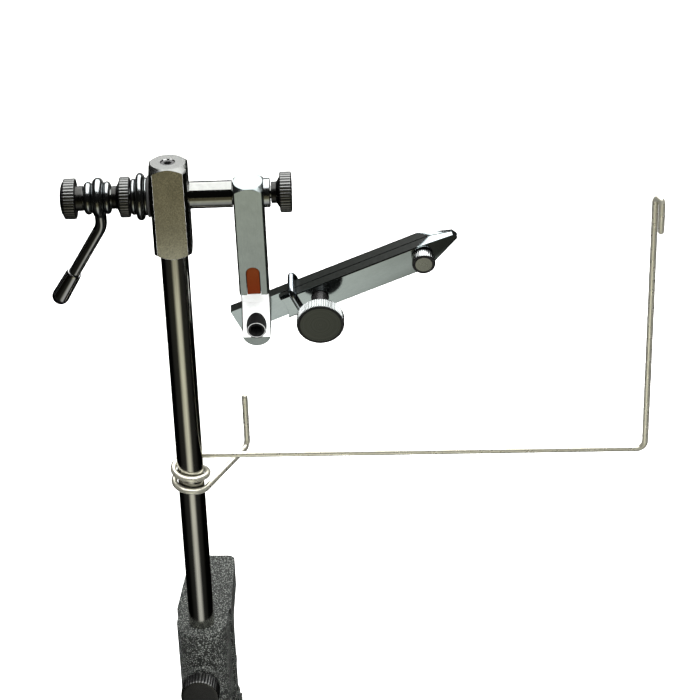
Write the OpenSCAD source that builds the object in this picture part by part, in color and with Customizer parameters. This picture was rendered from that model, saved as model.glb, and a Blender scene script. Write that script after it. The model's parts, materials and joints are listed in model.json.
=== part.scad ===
// Rotary fly tying vise held to a table edge by a screw clamp.
// Millimetres, +Z up. The origin is on the face that rests on the table top,
// on the axis of the clamp screw. The rotary shaft runs along X, jaws to +X.

/* [Pose] */
// Turn of the shaft, arm and jaws about the shaft's axis
head_turn = 9.2; // [-30:0.1:30]
// Rise of the jaws above level
jaw_tilt = 23.7; // [12:0.1:34]
// Turn of the clamp about the post
clamp_turn = -3.2; // [-12:0.1:12]
// Height of the shaft's axis above the table
shaft_h = 190; // [170:1:205]

/* [Post and head block] */
// Diameter of the post
post_d = 9.525; // [8.5:0.005:10]
// Length of the post
post_len = 229; // [215:1:250]
// Depth of the post's socket in the head block
socket_depth = 14.4; // [8:0.1:15.5]
// Width of the square head block
block_w = 12.7; // [12:0.1:15]
// Chamfer of the block's upright edges
block_edge = 1.17; // [0.5:0.01:2]
// Height of the block above the shaft's axis
block_rise = 12.5; // [10:0.1:15]
// Length of the block below the shaft's axis
block_drop = 21.4; // [20:0.1:26]
// Radius of the flat on the block's turned ends
block_flat_r = 6; // [5:0.1:6.3]
// Diameter of the drag set screw in the block's top
drag_screw_d = 5; // [4:0.1:6]
// Length of the drag set screw
drag_screw_len = 5; // [3:0.1:6]
// Diameter of the set screw that holds the post
post_screw_d = 4; // [3:0.1:5]
// Height of the post's set screw below the shaft's axis
post_screw_drop = 14; // [12:0.1:17]

/* [Rotary shaft] */
// Diameter of the shaft between block and arm
shaft_d = 9.3; // [8:0.1:10]
// Diameter of the bearing journal inside the block
journal_d = 7.5; // [6.5:0.1:8]
// Diameter of the threaded end that carries the crank
thread_d = 6; // [4.5:0.1:6.3]
// Distance from the post's axis to the arm's near face
arm_reach = 21.4; // [19:0.1:26]
// Overall length of the threaded end
thread_len = 28.6; // [28:0.1:29]

/* [Drag stack] */
// Thickness of the dark friction washer
friction_t = 0.75; // [0.5:0.05:1.2]
// Radius of the dark friction washer
friction_r = 7.1; // [6.5:0.1:8]
// Thickness of the inner drag ring
ring_in_t = 1.1; // [0.8:0.1:2]
// Radius of the inner drag ring
ring_in_r = 6.5; // [6:0.1:7.5]
// Thickness of the large drag ring
ring_big_t = 2.8; // [2:0.1:4]
// Radius of the large drag ring
ring_big_r = 8.1; // [7:0.1:9]
// Thickness of the outer drag ring
ring_out_t = 1.8; // [1:0.1:3]
// Radius of the outer drag ring
ring_out_r = 6.2; // [5.5:0.1:7]

/* [Knurled shaft knobs] */
// Radius of the knobs on the shaft
knob_r = 6.95; // [6:0.05:8]
// Length of the knurled band of the drag knob
drag_knob_t = 3.5; // [3:0.1:5]
// Length of the knurled band of the two end knobs
end_knob_t = 4.1; // [3:0.1:5]
// Radius of the drag knob's neck
drag_neck_r = 3.9; // [3.6:0.05:5]
// Length of the drag knob's neck and cone together
drag_neck_len = 2.7; // [2:0.1:4]
// Radius of the crank lock knob's neck
lock_neck_r = 4.25; // [3.8:0.05:5]
// Length of the crank lock knob's neck
lock_neck_len = 2.4; // [1.5:0.1:4]
// Height of the crank lock knob's domed end
lock_dome_h = 1.4; // [0.8:0.1:2]
// Number of knurl ridges on each shaft knob
knurl_count = 36; // [24:1:44]
// Depth of the knurl
knurl_depth = 0.35; // [0.2:0.05:0.5]

/* [Crank] */
// Thickness of the clamping ring next to the drag knob
crank_ring_in_t = 2.4; // [1.5:0.1:3]
// Thickness of the clamping ring next to the lock knob
crank_ring_out_t = 2.9; // [2:0.1:4]
// Radius of the two clamping rings
crank_ring_r = 5.6; // [5:0.05:6.5]
// Thickness of the crank's hub
crank_hub_t = 3.8; // [3.5:0.1:5]
// Radius of the crank's hub
crank_hub_r = 6.95; // [6:0.05:8]
// Diameter of the crank's rod
crank_rod_d = 4.1; // [3:0.1:4.5]
// Distance from the shaft's axis to the bend of the rod
crank_drop = 11.5; // [11:0.1:16]
// Lean of the rod beyond its bend
crank_lean = 30; // [15:1:40]
// Length of the rod beyond its bend
crank_rod_len = 35; // [28:0.5:45]
// Length of the rubber grip
grip_len = 14.6; // [10:0.1:20]
// Diameter of the rubber grip at its end
grip_d = 6.1; // [5.2:0.1:8]

/* [Arm] */
// Width of the square arm
arm_w = 10.2; // [9.6:0.1:12]
// Height of the arm above the shaft's axis
arm_rise = 4.9; // [4.2:0.1:6]
// Length from the shaft's axis to the centre of the arm's round end
arm_drop = 56.9; // [54:0.1:62]
// Chamfer of the arm's edges
arm_edge = 0.55; // [0.3:0.05:1]
// Distance from the shaft's axis down to the jaws' pivot
pivot_drop = 55.1; // [53:0.1:57]
// Width of the slot above the notch
slot_w = 4.9; // [3:0.1:5.5]
// Distance from the shaft's axis down to the slot's top
slot_top = 27.6; // [20:0.1:30]
// Distance from the shaft's axis down to the notch's top
notch_top = 39.5; // [36:0.1:42]
// Distance from the shaft's axis down to the notch's lower lip
notch_low = 58.1; // [57:0.1:59]
// Depth of the notch from the arm's front
notch_depth = 8; // [6:0.1:8.4]
// Fall of the notch's slanted face
notch_fall = 9.4; // [7:0.1:11]
// Diameter of the threaded stud that carries the arm
stud_d = 6; // [5:0.1:6.5]
// Diameter of the stud's end inside the arm lock knob
stud_end_d = 4; // [3:0.1:4.4]
// Thickness of the washer beside the arm
arm_washer_t = 2.3; // [1:0.1:3]
// Radius of the washer beside the arm
arm_washer_r = 5; // [4.5:0.1:7]
// Radius of the arm lock knob's neck
arm_neck_r = 3.7; // [2.9:0.05:4]
// Length of the arm lock knob's neck and cone together
arm_neck_len = 2.9; // [2:0.1:4]

/* [Pivot screw] */
// Diameter of the pivot screw's head
pivot_head_d = 6.9; // [6:0.1:7.5]
// Length of the pivot screw's head
pivot_head_len = 7; // [5:0.1:7.5]
// Diameter of the pivot screw's shank
pivot_d = 5; // [4:0.1:5.5]
// Hexagon across its corners in the pivot screw's head
pivot_hex_d = 4.6; // [3:0.1:5]

/* [Jaws] */
// Height of the jaw bars
jaw_h = 10; // [9:0.1:11]
// Height of the pivot above the jaws' centre line
pivot_rise = 1; // [0.5:0.1:1.5]
// Thickness of the rear jaw
rear_t = 4.5; // [4:0.1:5.5]
// Thickness of the front jaw
front_t = 4; // [3.5:0.1:5]
// Gap between the two jaws
parting_gap = 0.4; // [0.35:0.05:0.6]
// Length of the rear jaw behind the pivot
tail_len = 8.5; // [8:0.1:10]
// Distance from the pivot to the jaws' tip
tip_reach = 77.5; // [74:0.5:84]
// Distance from the pivot to the start of the tip's taper
taper_start = 62.6; // [60:0.1:65]
// Distance from the start of the taper to the tip's ridge
ridge_lag = 5.7; // [4:0.1:8]
// Height of each jaw at the tip
tip_h = 2.3; // [2:0.1:4]
// Rise of the tip's middle above the jaws' centre line
tip_rise = 1.8; // [0:0.1:2]
// Thickness of each jaw at the tip
tip_t = 1.3; // [1:0.1:2]
// Radius of the curved shoulder round the arm's end
shoulder_r = 11.4; // [11:0.1:12]
// Thickness of the front jaw where the spring ring sits
seat_t = 2.6; // [2.2:0.1:3]
// Distance from the pivot to the end of the ring's seat
seat_end = 17.6; // [17.4:0.1:19]
// Diameter of the spring ring's section
ring_d = 2.5; // [2:0.1:3.2]
// Chamfer of the jaws' long edges
jaw_edge = 0.35; // [0.2:0.05:0.6]

/* [Jaw knobs] */
// Distance from the pivot to the big knob
big_reach = 24.4; // [24:0.1:30]
// Diameter of the big knob
big_d = 16.6; // [14:0.1:18]
// Thickness of the big knob
big_t = 4.4; // [3:0.1:6]
// Length of screw seen between the big knob and the front jaw
big_stand = 11.2; // [6:0.1:13]
// Diameter of the big knob's screw
big_screw_d = 5.5; // [4:0.1:6]
// Number of knurl ridges on the big knob
big_knurl_count = 48; // [30:1:54]
// Distance from the pivot to the small knob
small_reach = 64.1; // [62.8:0.1:64.5]
// Diameter of the small knob
small_d = 8.1; // [7:0.1:9]
// Thickness of the small knob
small_t = 3.8; // [3:0.1:5]
// Diameter of the small knob's screw
small_screw_d = 3; // [2.5:0.1:3.6]
// Number of knurl ridges on the small knob
small_knurl_count = 28; // [18:1:32]

/* [Bobbin cradle] */
// Diameter of the cradle's wire
wire_d = 2.3; // [1.8:0.1:2.5]
// Number of turns round the post, from the run to the finger stub
coil_turns = 1.68; // [1.56:0.01:1.7]
// Fall of the coil in one turn
coil_pitch = 5.2; // [4:0.1:6]
// Distance of the coil's start below the shaft's axis
coil_drop = 107.6; // [100:0.1:112]
// Distance from the post's axis to the riser
riser_reach = 164.6; // [140:0.1:180]
// Turn of the straight run towards the front
run_turn = 1.8; // [0:0.1:6]
// Height of the riser above the run
riser_h = 99; // [70:0.5:105]
// Width of the hook at the riser's top, between wire centres
hook_w = 3; // [2.9:0.1:6]
// Turn of the hook towards the front
hook_turn = 48; // [0:1:90]
// Length of the hook's return leg
hook_leg = 10.2; // [6:0.1:16]
// Length of the finger leg that leaves the coil
finger_len = 31.5; // [20:0.5:34]
// Height of the finger stub
stub_h = 21; // [12:0.5:28]
// Bend radius of the cradle's corners
wire_bend = 3; // [2.5:0.1:5]

/* [Table clamp] */
// Thickness of the clamp's upper arm
upper_t = 12; // [10:0.5:16]
// Distance from the post's axis to the clamp screw
throat_reach = 31; // [30:0.5:36]
// Distance from the post's axis to the upper arm's far end
upper_reach = 43.4; // [42:0.1:48]
// Width of the upper arm at its far end
upper_tip_w = 18; // [16:0.1:22]
// Width of the upper arm at the spine
upper_root_w = 20.6; // [20:0.1:24]
// Opening of the clamp
throat_h = 50; // [45:1:60]
// Thickness of the spine
spine_t = 11; // [10:0.1:11.5]
// Distance from the post's axis to the spine's front face
spine_front = 8; // [7:0.1:8.5]
// Thickness of the lower arm
lower_t = 12; // [10:0.5:16]
// Radius of the post's boss
boss_r = 9.5; // [8.8:0.1:11]
// Height of the post's boss
boss_h = 37; // [32:0.5:45]
// Diameter of the clamp screw
clamp_screw_d = 8; // [7:0.1:9.5]
// Distance from the table top's face to the pad at rest
pad_open = 28; // [22:0.5:30]
// Diameter of the pad
pad_d = 17; // [15:0.5:18]
// Thickness of the pad
pad_t = 6; // [5:0.5:8]
// Length of the clamp screw below the pad
clamp_screw_len = 62; // [60:1:75]
// Diameter of the tommy bar
bar_d = 5; // [4:0.1:6]
// Length of the tommy bar
bar_len = 60; // [50:1:80]
// Diameter of the post lock screw
lock_d = 6; // [5:0.1:7]
// Distance of the post lock screw below the table's face
lock_drop = 8; // [4:0.5:14]

/* [Hidden] */

// Smoothness of round surfaces
$fn = 64;
// Clearance between faces of pieces that move past each other
gap = 0.3;
// Radial clearance of a running fit
run_fit = 0.05;
// Radial clearance of a screw in a hole of the same body
screw_fit = 0.1;
// Overrun of cuts past a surface
over = 1;
// Reach of cutters that must pass right through a piece
wide = 60;

post_r = post_d / 2;
face_x = -throat_reach * sin(clamp_turn);
face_y = throat_reach * cos(clamp_turn);
block_half = block_w / 2;
journal_end = block_half + gap;

// Places along the shaft, measured from the post's axis to the left
friction_x = journal_end + friction_t;
ring_in_x = friction_x + ring_in_t;
ring_big_x = ring_in_x + ring_big_t;
ring_out_x = ring_big_x + ring_out_t;
drag_knob_x = ring_out_x + gap;
drag_band_x = drag_knob_x + drag_knob_t;
drag_neck_x = drag_band_x + drag_neck_len;
crank_in_x = drag_neck_x + gap + crank_ring_in_t;
crank_hub_x = crank_in_x + crank_hub_t;
crank_out_x = crank_hub_x + crank_ring_out_t;
lock_knob_x = crank_out_x + gap;
lock_band_x = lock_knob_x + lock_neck_len;
lock_face_x = lock_band_x + end_knob_t;
thread_end_x = journal_end + thread_len;

// Places along the shaft to the right
arm_x = arm_reach + arm_w / 2;
arm_far = arm_reach + arm_w;
arm_washer_x = arm_far + arm_washer_t;
arm_knob_x = arm_washer_x + gap;
arm_band_x = arm_knob_x + arm_neck_len;
arm_face_x = arm_band_x + end_knob_t;
stud_end_x = arm_band_x + end_knob_t / 2;

// Frames that the pieces stand in
module at_post() { translate([-face_x, -face_y, shaft_h]) children(); }
module at_head() { at_post() rotate([head_turn, 0, 0]) children(); }
module at_jaw() { at_head() translate([arm_x, 0, -pivot_drop]) rotate([0, -jaw_tilt, 0]) children(); }
module at_clamp() { translate([-face_x, -face_y, 0]) rotate([0, 0, clamp_turn]) children(); }

// A round bar along +X from x0 to x1
module bar_x(x0, x1, r) { translate([x0, 0, 0]) rotate([0, 90, 0]) cylinder(r = r, h = x1 - x0); }
// A round bar along +Y from y0 to y1
module bar_y(y0, y1, r) { translate([0, y0, 0]) rotate([-90, 0, 0]) cylinder(r = r, h = y1 - y0); }
// A turned piece about X, from a profile of [x, r] points
module turned_x(profile) {
    rotate([0, 90, 0]) rotate_extrude() polygon([for (p = profile) [p[1], p[0]]]);
}

// Outline of a straight knurl, with one V groove to each ridge
module knurl_outline(r, depth, count) {
    ridge_share = 0.52;
    step = 360 / count;
    polygon([for (i = [0:count - 1]) for (s = [0, ridge_share, (1 + ridge_share) / 2])
        let (a = (i + s) * step, rr = s > ridge_share ? r - depth : r) [rr * cos(a), rr * sin(a)]]);
}

// A knurled band along +X, chamfered at both ends
module knurled_x(x0, x1, r, depth, count, edge) {
    intersection() {
        translate([x0, 0, 0]) rotate([0, 90, 0]) linear_extrude(x1 - x0) knurl_outline(r, depth, count);
        turned_x([[x0, 0], [x0, r - edge], [x0 + edge, r + edge / 2], [x1 - edge, r + edge / 2],
            [x1, r - edge], [x1, 0]]);
    }
}

// A ring about X with a rounded rim, like a bead
module bead_ring(x0, x1, r, bore_r) {
    t = x1 - x0;
    bulge = t / 2;
    rotate([0, 90, 0]) rotate_extrude() difference() {
        union() {
            translate([bore_r, x0]) square([r - bulge - bore_r, t]);
            translate([r - bulge, x0 + bulge]) circle(r = bulge, $fn = 48);
        }
        translate([0, x0 - over]) square([bore_r, t + 2 * over]);
    }
}

// Square bar with chamfered corners, standing on z0
module edged_bar(w, d, edge, z0, z1) {
    a = w / 2;
    b = d / 2;
    translate([0, 0, z0]) linear_extrude(z1 - z0) polygon([[a - edge, -b], [a, edge - b], [a, b - edge],
        [a - edge, b], [edge - a, b], [-a, b - edge], [-a, edge - b], [edge - a, -b]]);
}

// A unit vector along v
function unit(v) = v / norm(v);
// Direction of a path at its point i
function path_dir(path, i) = unit(path[min(i + 1, len(path) - 1)] - path[max(i - 1, 0)]);
// A side direction square to the path, carried from its start to its point i
function carried(path, side, i) = let (d = path_dir(path, i), m = i == 0 ? side : carried(path, side, i - 1))
    unit(m - (m * d) * d);

// A round tube of radius r along a path of points
module tube(path, r, sides, side0) {
    last = len(path) - 1;
    points = [for (i = [0:last]) let (d = path_dir(path, i), m = carried(path, side0, i), b = cross(d, m))
        for (k = [0:sides - 1]) let (a = 360 * k / sides) path[i] + r * (cos(a) * m + sin(a) * b)];
    wall = [for (i = [0:last - 1]) for (k = [0:sides - 1])
        let (a = i * sides + k, b = i * sides + (k + 1) % sides)
            each [[a, a + sides, b], [b, a + sides, b + sides]]];
    ends = concat([for (k = [1:sides - 2]) [0, k, k + 1]],
        [for (k = [1:sides - 2]) [last * sides, last * sides + k + 1, last * sides + k]]);
    polyhedron(points = points, faces = concat(wall, ends));
}

/* Post and head block */

post_edge = 0.5;
post_top = -block_drop + socket_depth;

module post() {
    color([0.09, 0.09, 0.09]) at_post() translate([0, 0, post_top - post_len]) rotate_extrude()
        polygon([[0, 0], [post_r - post_edge, 0], [post_r, post_edge], [post_r, post_len - post_edge],
            [post_r - post_edge, post_len], [0, post_len]]);
}

// Slope of the block's turned ends
block_slope = 0.8;
block_corner_r = norm([block_half, block_half]);
socket_r = post_r + screw_fit;

module head_block() {
    rise = (block_corner_r - block_flat_r) * block_slope;
    color([0.5, 0.47, 0.4]) at_post() difference() {
        intersection() {
            edged_bar(block_w, block_w, block_edge, -block_drop, block_rise);
            rotate_extrude() polygon([[0, -block_drop], [block_flat_r, -block_drop],
                [block_corner_r, rise - block_drop], [block_corner_r, block_rise - rise],
                [block_flat_r, block_rise], [0, block_rise]]);
        }
        bar_x(-block_w, block_w, journal_d / 2 + run_fit);
        translate([0, 0, -block_drop - over]) cylinder(r = socket_r, h = socket_depth + over);
        cylinder(r = drag_screw_d / 2 + screw_fit, h = block_rise + over);
        translate([0, 0, -post_screw_drop]) bar_y(0, block_w, post_screw_d / 2 + screw_fit);
    }
}

// Recess of the set screws below the surface
screw_recess = 0.3;

// Share of a set screw's diameter and length that its socket takes
socket_share = 0.55;

// A headless socket screw along +Z, its top at z = 0
module set_screw(d, len) {
    difference() {
        translate([0, 0, -len]) cylinder(d = d, h = len);
        translate([0, 0, -len * socket_share]) cylinder(d = d * socket_share, h = len, $fn = 6);
    }
}

drag_plug_z = journal_d / 2 + gap;
drag_screw_z = block_rise - screw_recess;

module drag_set_screw() {
    color([0.15, 0.15, 0.15]) at_post() translate([0, 0, drag_screw_z])
        set_screw(drag_screw_d, drag_screw_len);
}

module drag_plug() {
    color([0.75, 0.6, 0.3]) at_post() translate([0, 0, drag_plug_z])
        cylinder(d = drag_screw_d, h = drag_screw_z - drag_screw_len - drag_plug_z);
}

module post_set_screw() {
    color([0.15, 0.15, 0.15]) at_post() translate([0, block_half - screw_recess, -post_screw_drop])
        rotate([-90, 0, 0]) set_screw(post_screw_d, block_half - screw_recess - socket_r);
}

/* Rotary shaft and drag stack */

thread_r = thread_d / 2;
shaft_edge = 0.4;
thread_hole_r = thread_r + screw_fit;

module rotary_shaft() {
    sr = shaft_d / 2;
    jr = journal_d / 2;
    shoulder = arm_reach - gap;
    color([0.75, 0.75, 0.75]) at_head() turned_x([[-thread_end_x, 0], [-thread_end_x, thread_r - shaft_edge],
        [shaft_edge - thread_end_x, thread_r], [-journal_end, thread_r], [-journal_end, jr],
        [journal_end, jr], [journal_end, sr], [shoulder, sr], [shoulder, stud_d / 2],
        [arm_far, stud_d / 2], [arm_far, stud_end_d / 2], [stud_end_x - shaft_edge, stud_end_d / 2],
        [stud_end_x, stud_end_d / 2 - shaft_edge], [stud_end_x, 0]]);
}

module friction_washer() {
    color([0.05, 0.05, 0.05]) at_head() difference() {
        bar_x(-friction_x, -journal_end, friction_r);
        bar_x(-friction_x - over, over, thread_hole_r);
    }
}

module inner_drag_ring() {
    color([0.7, 0.7, 0.7]) at_head() bead_ring(-ring_in_x, -friction_x, ring_in_r, thread_hole_r);
}

module large_drag_ring() {
    color([0.7, 0.7, 0.7]) at_head() bead_ring(-ring_big_x, -ring_in_x, ring_big_r, thread_hole_r);
}

module outer_drag_ring() {
    color([0.7, 0.7, 0.7]) at_head() bead_ring(-ring_out_x, -ring_big_x, ring_out_r, thread_hole_r);
}

knob_edge = 0.5;
// Share of a neck's length that its cone takes
cone_share = 0.38;

module drag_knob() {
    cone = drag_neck_len * cone_share;
    core_r = knob_r - 2 * knob_edge;
    color([0.2, 0.2, 0.2]) at_head() difference() {
        union() {
            knurled_x(-drag_band_x, -drag_knob_x, knob_r, knurl_depth, knurl_count, knob_edge);
            turned_x([[-drag_neck_x, 0], [-drag_neck_x, drag_neck_r], [-drag_band_x - cone, drag_neck_r],
                [-drag_band_x, core_r], [-drag_knob_x, core_r], [-drag_knob_x, 0]]);
        }
        bar_x(-drag_neck_x - over, over, thread_r + run_fit);
    }
}

/* Crank */

crank_x = -(crank_in_x + crank_hub_x) / 2;
crank_rod_r = crank_rod_d / 2;
crank_bend_r = 2 * crank_rod_d;
// Steps of the rod's bend, and sides of the rod
crank_steps = 5;
crank_sides = 24;
grip_wall = 0.55;
grip_root_r = crank_rod_r + grip_wall;

module crank_inner_ring() {
    color([0.7, 0.7, 0.7]) at_head() bead_ring(-crank_in_x, -drag_neck_x - gap, crank_ring_r, thread_hole_r);
}

module crank_outer_ring() {
    color([0.7, 0.7, 0.7]) at_head() bead_ring(-crank_out_x, -crank_hub_x, crank_ring_r, thread_hole_r);
}

// Places children at the rod's corner, with +Z along the leaning length
module at_crank_rod() {
    translate([crank_x, 0, -crank_drop]) rotate([0, 180 + crank_lean, 0]) children();
}

// Distance from the shaft's axis to the rod's root, clear of the clamping rings
crank_root = crank_ring_r + gap;
// Centre line of the rod, from its root in the hub's rim to its end
crank_tangent = crank_bend_r * tan(crank_lean / 2);
crank_bend = [for (i = [0:crank_steps]) let (a = i * crank_lean / crank_steps)
    [crank_x - crank_bend_r * (1 - cos(a)), 0, crank_tangent - crank_drop - crank_bend_r * sin(a)]];
crank_end = [crank_x - crank_rod_len * sin(crank_lean), 0, -crank_drop - crank_rod_len * cos(crank_lean)];
crank_line = concat([[crank_x, 0, -crank_root]], crank_bend, [crank_end]);

module crank() {
    color([0.04, 0.04, 0.04]) at_head() difference() {
        union() {
            bead_ring(-crank_hub_x, -crank_in_x, crank_hub_r, thread_hole_r);
            tube(crank_line, crank_rod_r, crank_sides, [0, 1, 0]);
        }
        bar_x(-crank_hub_x - over, over, thread_hole_r);
    }
}

module crank_grip() {
    grip_r = grip_d / 2;
    start = crank_rod_len + grip_wall - grip_len + grip_r / 2;
    end = start + grip_len;
    color([0.03, 0.03, 0.03]) at_head() at_crank_rod() difference() {
        rotate_extrude() {
            polygon([[0, start], [grip_root_r, start], [grip_r, end - grip_r], [0, end - grip_r]]);
            intersection() {
                translate([0, end - grip_r]) circle(r = grip_r);
                translate([0, end - grip_r]) square(grip_r);
            }
        }
        translate([0, 0, start - over]) cylinder(r = crank_rod_r, h = crank_rod_len - start + over);
    }
}

// Share of the lock knob's radius that its dome starts at
dome_share = 0.62;

module crank_lock_knob() {
    dome_r = knob_r * dome_share;
    color([0.2, 0.2, 0.2]) at_head() difference() {
        union() {
            knurled_x(-lock_face_x, -lock_band_x, knob_r, knurl_depth, knurl_count, knob_edge);
            turned_x([[-lock_face_x - lock_dome_h, 0], [-lock_face_x - lock_dome_h, dome_r / 2],
                [-lock_face_x - lock_dome_h / 2, dome_r], [-lock_face_x, knob_r - knob_edge],
                [-lock_band_x, knob_r - 2 * knob_edge], [-lock_band_x, lock_neck_r],
                [-lock_knob_x, lock_neck_r], [-lock_knob_x, 0]]);
        }
        bar_x(-thread_end_x - gap, over, thread_r + run_fit);
    }
}

/* Arm */

arm_half = arm_w / 2;
// Slope and height of the arm's turned top
arm_flat_r = 4.95;
arm_slope = 0.8;
// Length of the slot's straight sides above the notch
slot_leg = notch_top - slot_top - slot_w / 2;

module arm() {
    corner_r = norm([arm_half, arm_half]);
    color([0.62, 0.62, 0.62]) at_head() translate([arm_x, 0, 0]) difference() {
        union() {
            intersection() {
                edged_bar(arm_w, arm_w, arm_edge, -arm_drop, arm_rise);
                translate([0, 0, -arm_drop]) rotate_extrude() polygon([[0, 0], [corner_r, 0],
                    [corner_r, arm_drop + arm_rise - (corner_r - arm_flat_r) * arm_slope],
                    [arm_flat_r, arm_drop + arm_rise], [0, arm_drop + arm_rise]]);
            }
            translate([0, 0, -arm_drop]) bar_y(-arm_half, arm_half, arm_half);
        }
        bar_x(-arm_w, arm_w, stud_d / 2 + run_fit);
        translate([0, 0, -slot_top - slot_w / 2]) bar_y(-arm_w, arm_w, slot_w / 2);
        translate([-slot_w / 2, -arm_w, -notch_top]) cube([slot_w, 2 * arm_w, slot_leg]);
        rotate([90, 0, 90]) translate([0, 0, -arm_w]) linear_extrude(2 * arm_w) polygon([
            [-arm_half - over, -notch_top], [notch_depth - arm_half, -notch_top],
            [notch_depth - arm_half, notch_fall - notch_low], [-arm_half, -notch_low],
            [-arm_half - over, -notch_low]]);
        translate([0, 0, -pivot_drop]) {
            bar_y(-arm_w, pivot_head_len - arm_half, pivot_head_d / 2 + screw_fit);
            bar_y(0, arm_w, pivot_d / 2 + screw_fit);
        }
    }
}

// Clearance of the fibre insert in its slot, and its depth below the arm's faces
insert_fit = 0.1;
insert_recess = 0.35;

module slot_insert() {
    r = slot_w / 2 - insert_fit;
    depth = arm_w - 2 * insert_recess;
    color([0.45, 0.12, 0.05]) at_head() translate([arm_x, 0, 0]) {
        translate([0, 0, -slot_top - slot_w / 2]) bar_y(-depth / 2, depth / 2, r);
        translate([-r, -depth / 2, -notch_top]) cube([2 * r, depth, slot_leg]);
    }
}

// Chamfer of the washer's rim
washer_edge = 0.3;

module arm_washer() {
    rim = arm_washer_r - washer_edge;
    color([0.7, 0.7, 0.7]) at_head() difference() {
        turned_x([[arm_far, 0], [arm_far, rim], [arm_far + washer_edge, arm_washer_r],
            [arm_washer_x - washer_edge, arm_washer_r], [arm_washer_x, rim], [arm_washer_x, 0]]);
        bar_x(arm_far - over, arm_washer_x + over, stud_end_d / 2 + gap);
    }
}

module arm_lock_knob() {
    cone = arm_neck_len * cone_share;
    color([0.25, 0.25, 0.25]) at_head() difference() {
        union() {
            knurled_x(arm_band_x, arm_face_x, knob_r, knurl_depth, knurl_count, knob_edge);
            turned_x([[arm_knob_x, 0], [arm_knob_x, arm_neck_r], [arm_band_x - cone, arm_neck_r],
                [arm_band_x, knob_r - 3 * knob_edge], [arm_face_x, knob_r - 2 * knob_edge], [arm_face_x, 0]]);
        }
        bar_x(0, stud_end_x + gap, stud_end_d / 2 + run_fit);
    }
}

/* Jaws, in their own frame: +X to the tip, +Y to the back, pivot at the origin */

rear_y0 = arm_half + gap;
rear_y1 = rear_y0 + rear_t;
front_y1 = rear_y0 - parting_gap;
front_y0 = front_y1 - front_t;
jaw_top = jaw_h / 2 - pivot_rise;
jaw_low = -jaw_h / 2 - pivot_rise;
jaw_mid = -pivot_rise;
tip_top = jaw_mid + tip_rise + tip_h / 2;
tip_low = jaw_mid + tip_rise - tip_h / 2;
// Setback of the tip's top facets and of its underside behind its sides' taper
facet_lag = 0.9;
under_lag = 1.4;
// Lean of the tip's end
nose_lean = 24;

module pivot_screw() {
    end = rear_y1 - gap;
    color([0.05, 0.05, 0.05]) at_jaw() difference() {
        union() {
            bar_y(-arm_half, pivot_head_len - arm_half, pivot_head_d / 2);
            bar_y(0, end, pivot_d / 2);
        }
        bar_y_hex(-arm_half - over, pivot_head_len / 2 - arm_half, pivot_hex_d / 2);
    }
}

// A hexagonal bar along +Y
module bar_y_hex(y0, y1, r) {
    translate([0, y0, 0]) rotate([-90, 0, 0]) cylinder(r = r, h = y1 - y0, $fn = 6);
}

// A bar from y0 to y1 with its two outer long edges chamfered on the side of y_out
module jaw_bar(x0, x1, y0, y1, y_out) {
    e = y_out > y0 ? -jaw_edge : jaw_edge;
    y_in = y_out > y0 ? y0 : y1;
    translate([x0, 0, 0]) rotate([90, 0, 90]) linear_extrude(x1 - x0) polygon([[y_in, jaw_top],
        [y_in, jaw_low], [y_out + e, jaw_low], [y_out, jaw_low + jaw_edge], [y_out, jaw_top - jaw_edge],
        [y_out + e, jaw_top]]);
}

// Half spaces that cut the tip's top facet, underside, outer side and end
module tip_cuts(y_in, y_out) {
    length = tip_reach - taper_start;
    thick = abs(y_out - y_in);
    side = y_out > y_in ? 1 : -1;
    skew = atan2(ridge_lag - facet_lag, thick);
    top_fall = atan2(jaw_top - tip_top, (length - ridge_lag) * cos(skew));
    low_rise = atan2(tip_low - jaw_low, length - under_lag);
    side_turn = atan2(thick - tip_t, length);
    translate([taper_start + ridge_lag, y_in, jaw_top]) rotate([0, 0, side * skew])
        rotate([0, top_fall, 0]) translate([0, -wide, 0]) cube([wide, 2 * wide, wide]);
    translate([taper_start + under_lag, y_in, jaw_low]) rotate([0, -low_rise, 0])
        translate([0, -wide, -wide]) cube([wide, 2 * wide, wide]);
    translate([taper_start, y_out, 0]) rotate([0, 0, -side * side_turn])
        translate([0, side > 0 ? 0 : -wide, -wide]) cube([wide, wide, 2 * wide]);
    translate([tip_reach, y_in, tip_low]) rotate([0, -nose_lean, 0])
        translate([0, -wide, 0]) cube([wide, 2 * wide, wide]);
}

// Depth of the dimple that the big screw's end turns in
big_seat = 1.5;
// Radial clearance of the jaw screws in the rocking front jaw
rock_fit = 0.35;
// Wall of the eye that goes round the small screw inside each jaw
eye_wall = 1;

module rear_jaw() {
    hole_r = small_screw_d / 2 + run_fit;
    color([0.5, 0.52, 0.5]) at_jaw() difference() {
        union() {
            difference() {
                jaw_bar(-tail_len, tip_reach, rear_y0, rear_y1, rear_y1);
                tip_cuts(rear_y0, rear_y1);
            }
            translate([small_reach, 0, jaw_mid]) bar_y(rear_y0, rear_y0 + tip_t, hole_r + eye_wall);
        }
        bar_y(0, wide, pivot_d / 2 + run_fit);
        translate([small_reach, 0, jaw_mid]) bar_y(0, wide, hole_r);
        translate([big_reach, 0, jaw_mid]) bar_y(0, rear_y0 + big_seat, big_screw_d / 2 + run_fit);
    }
}

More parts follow.
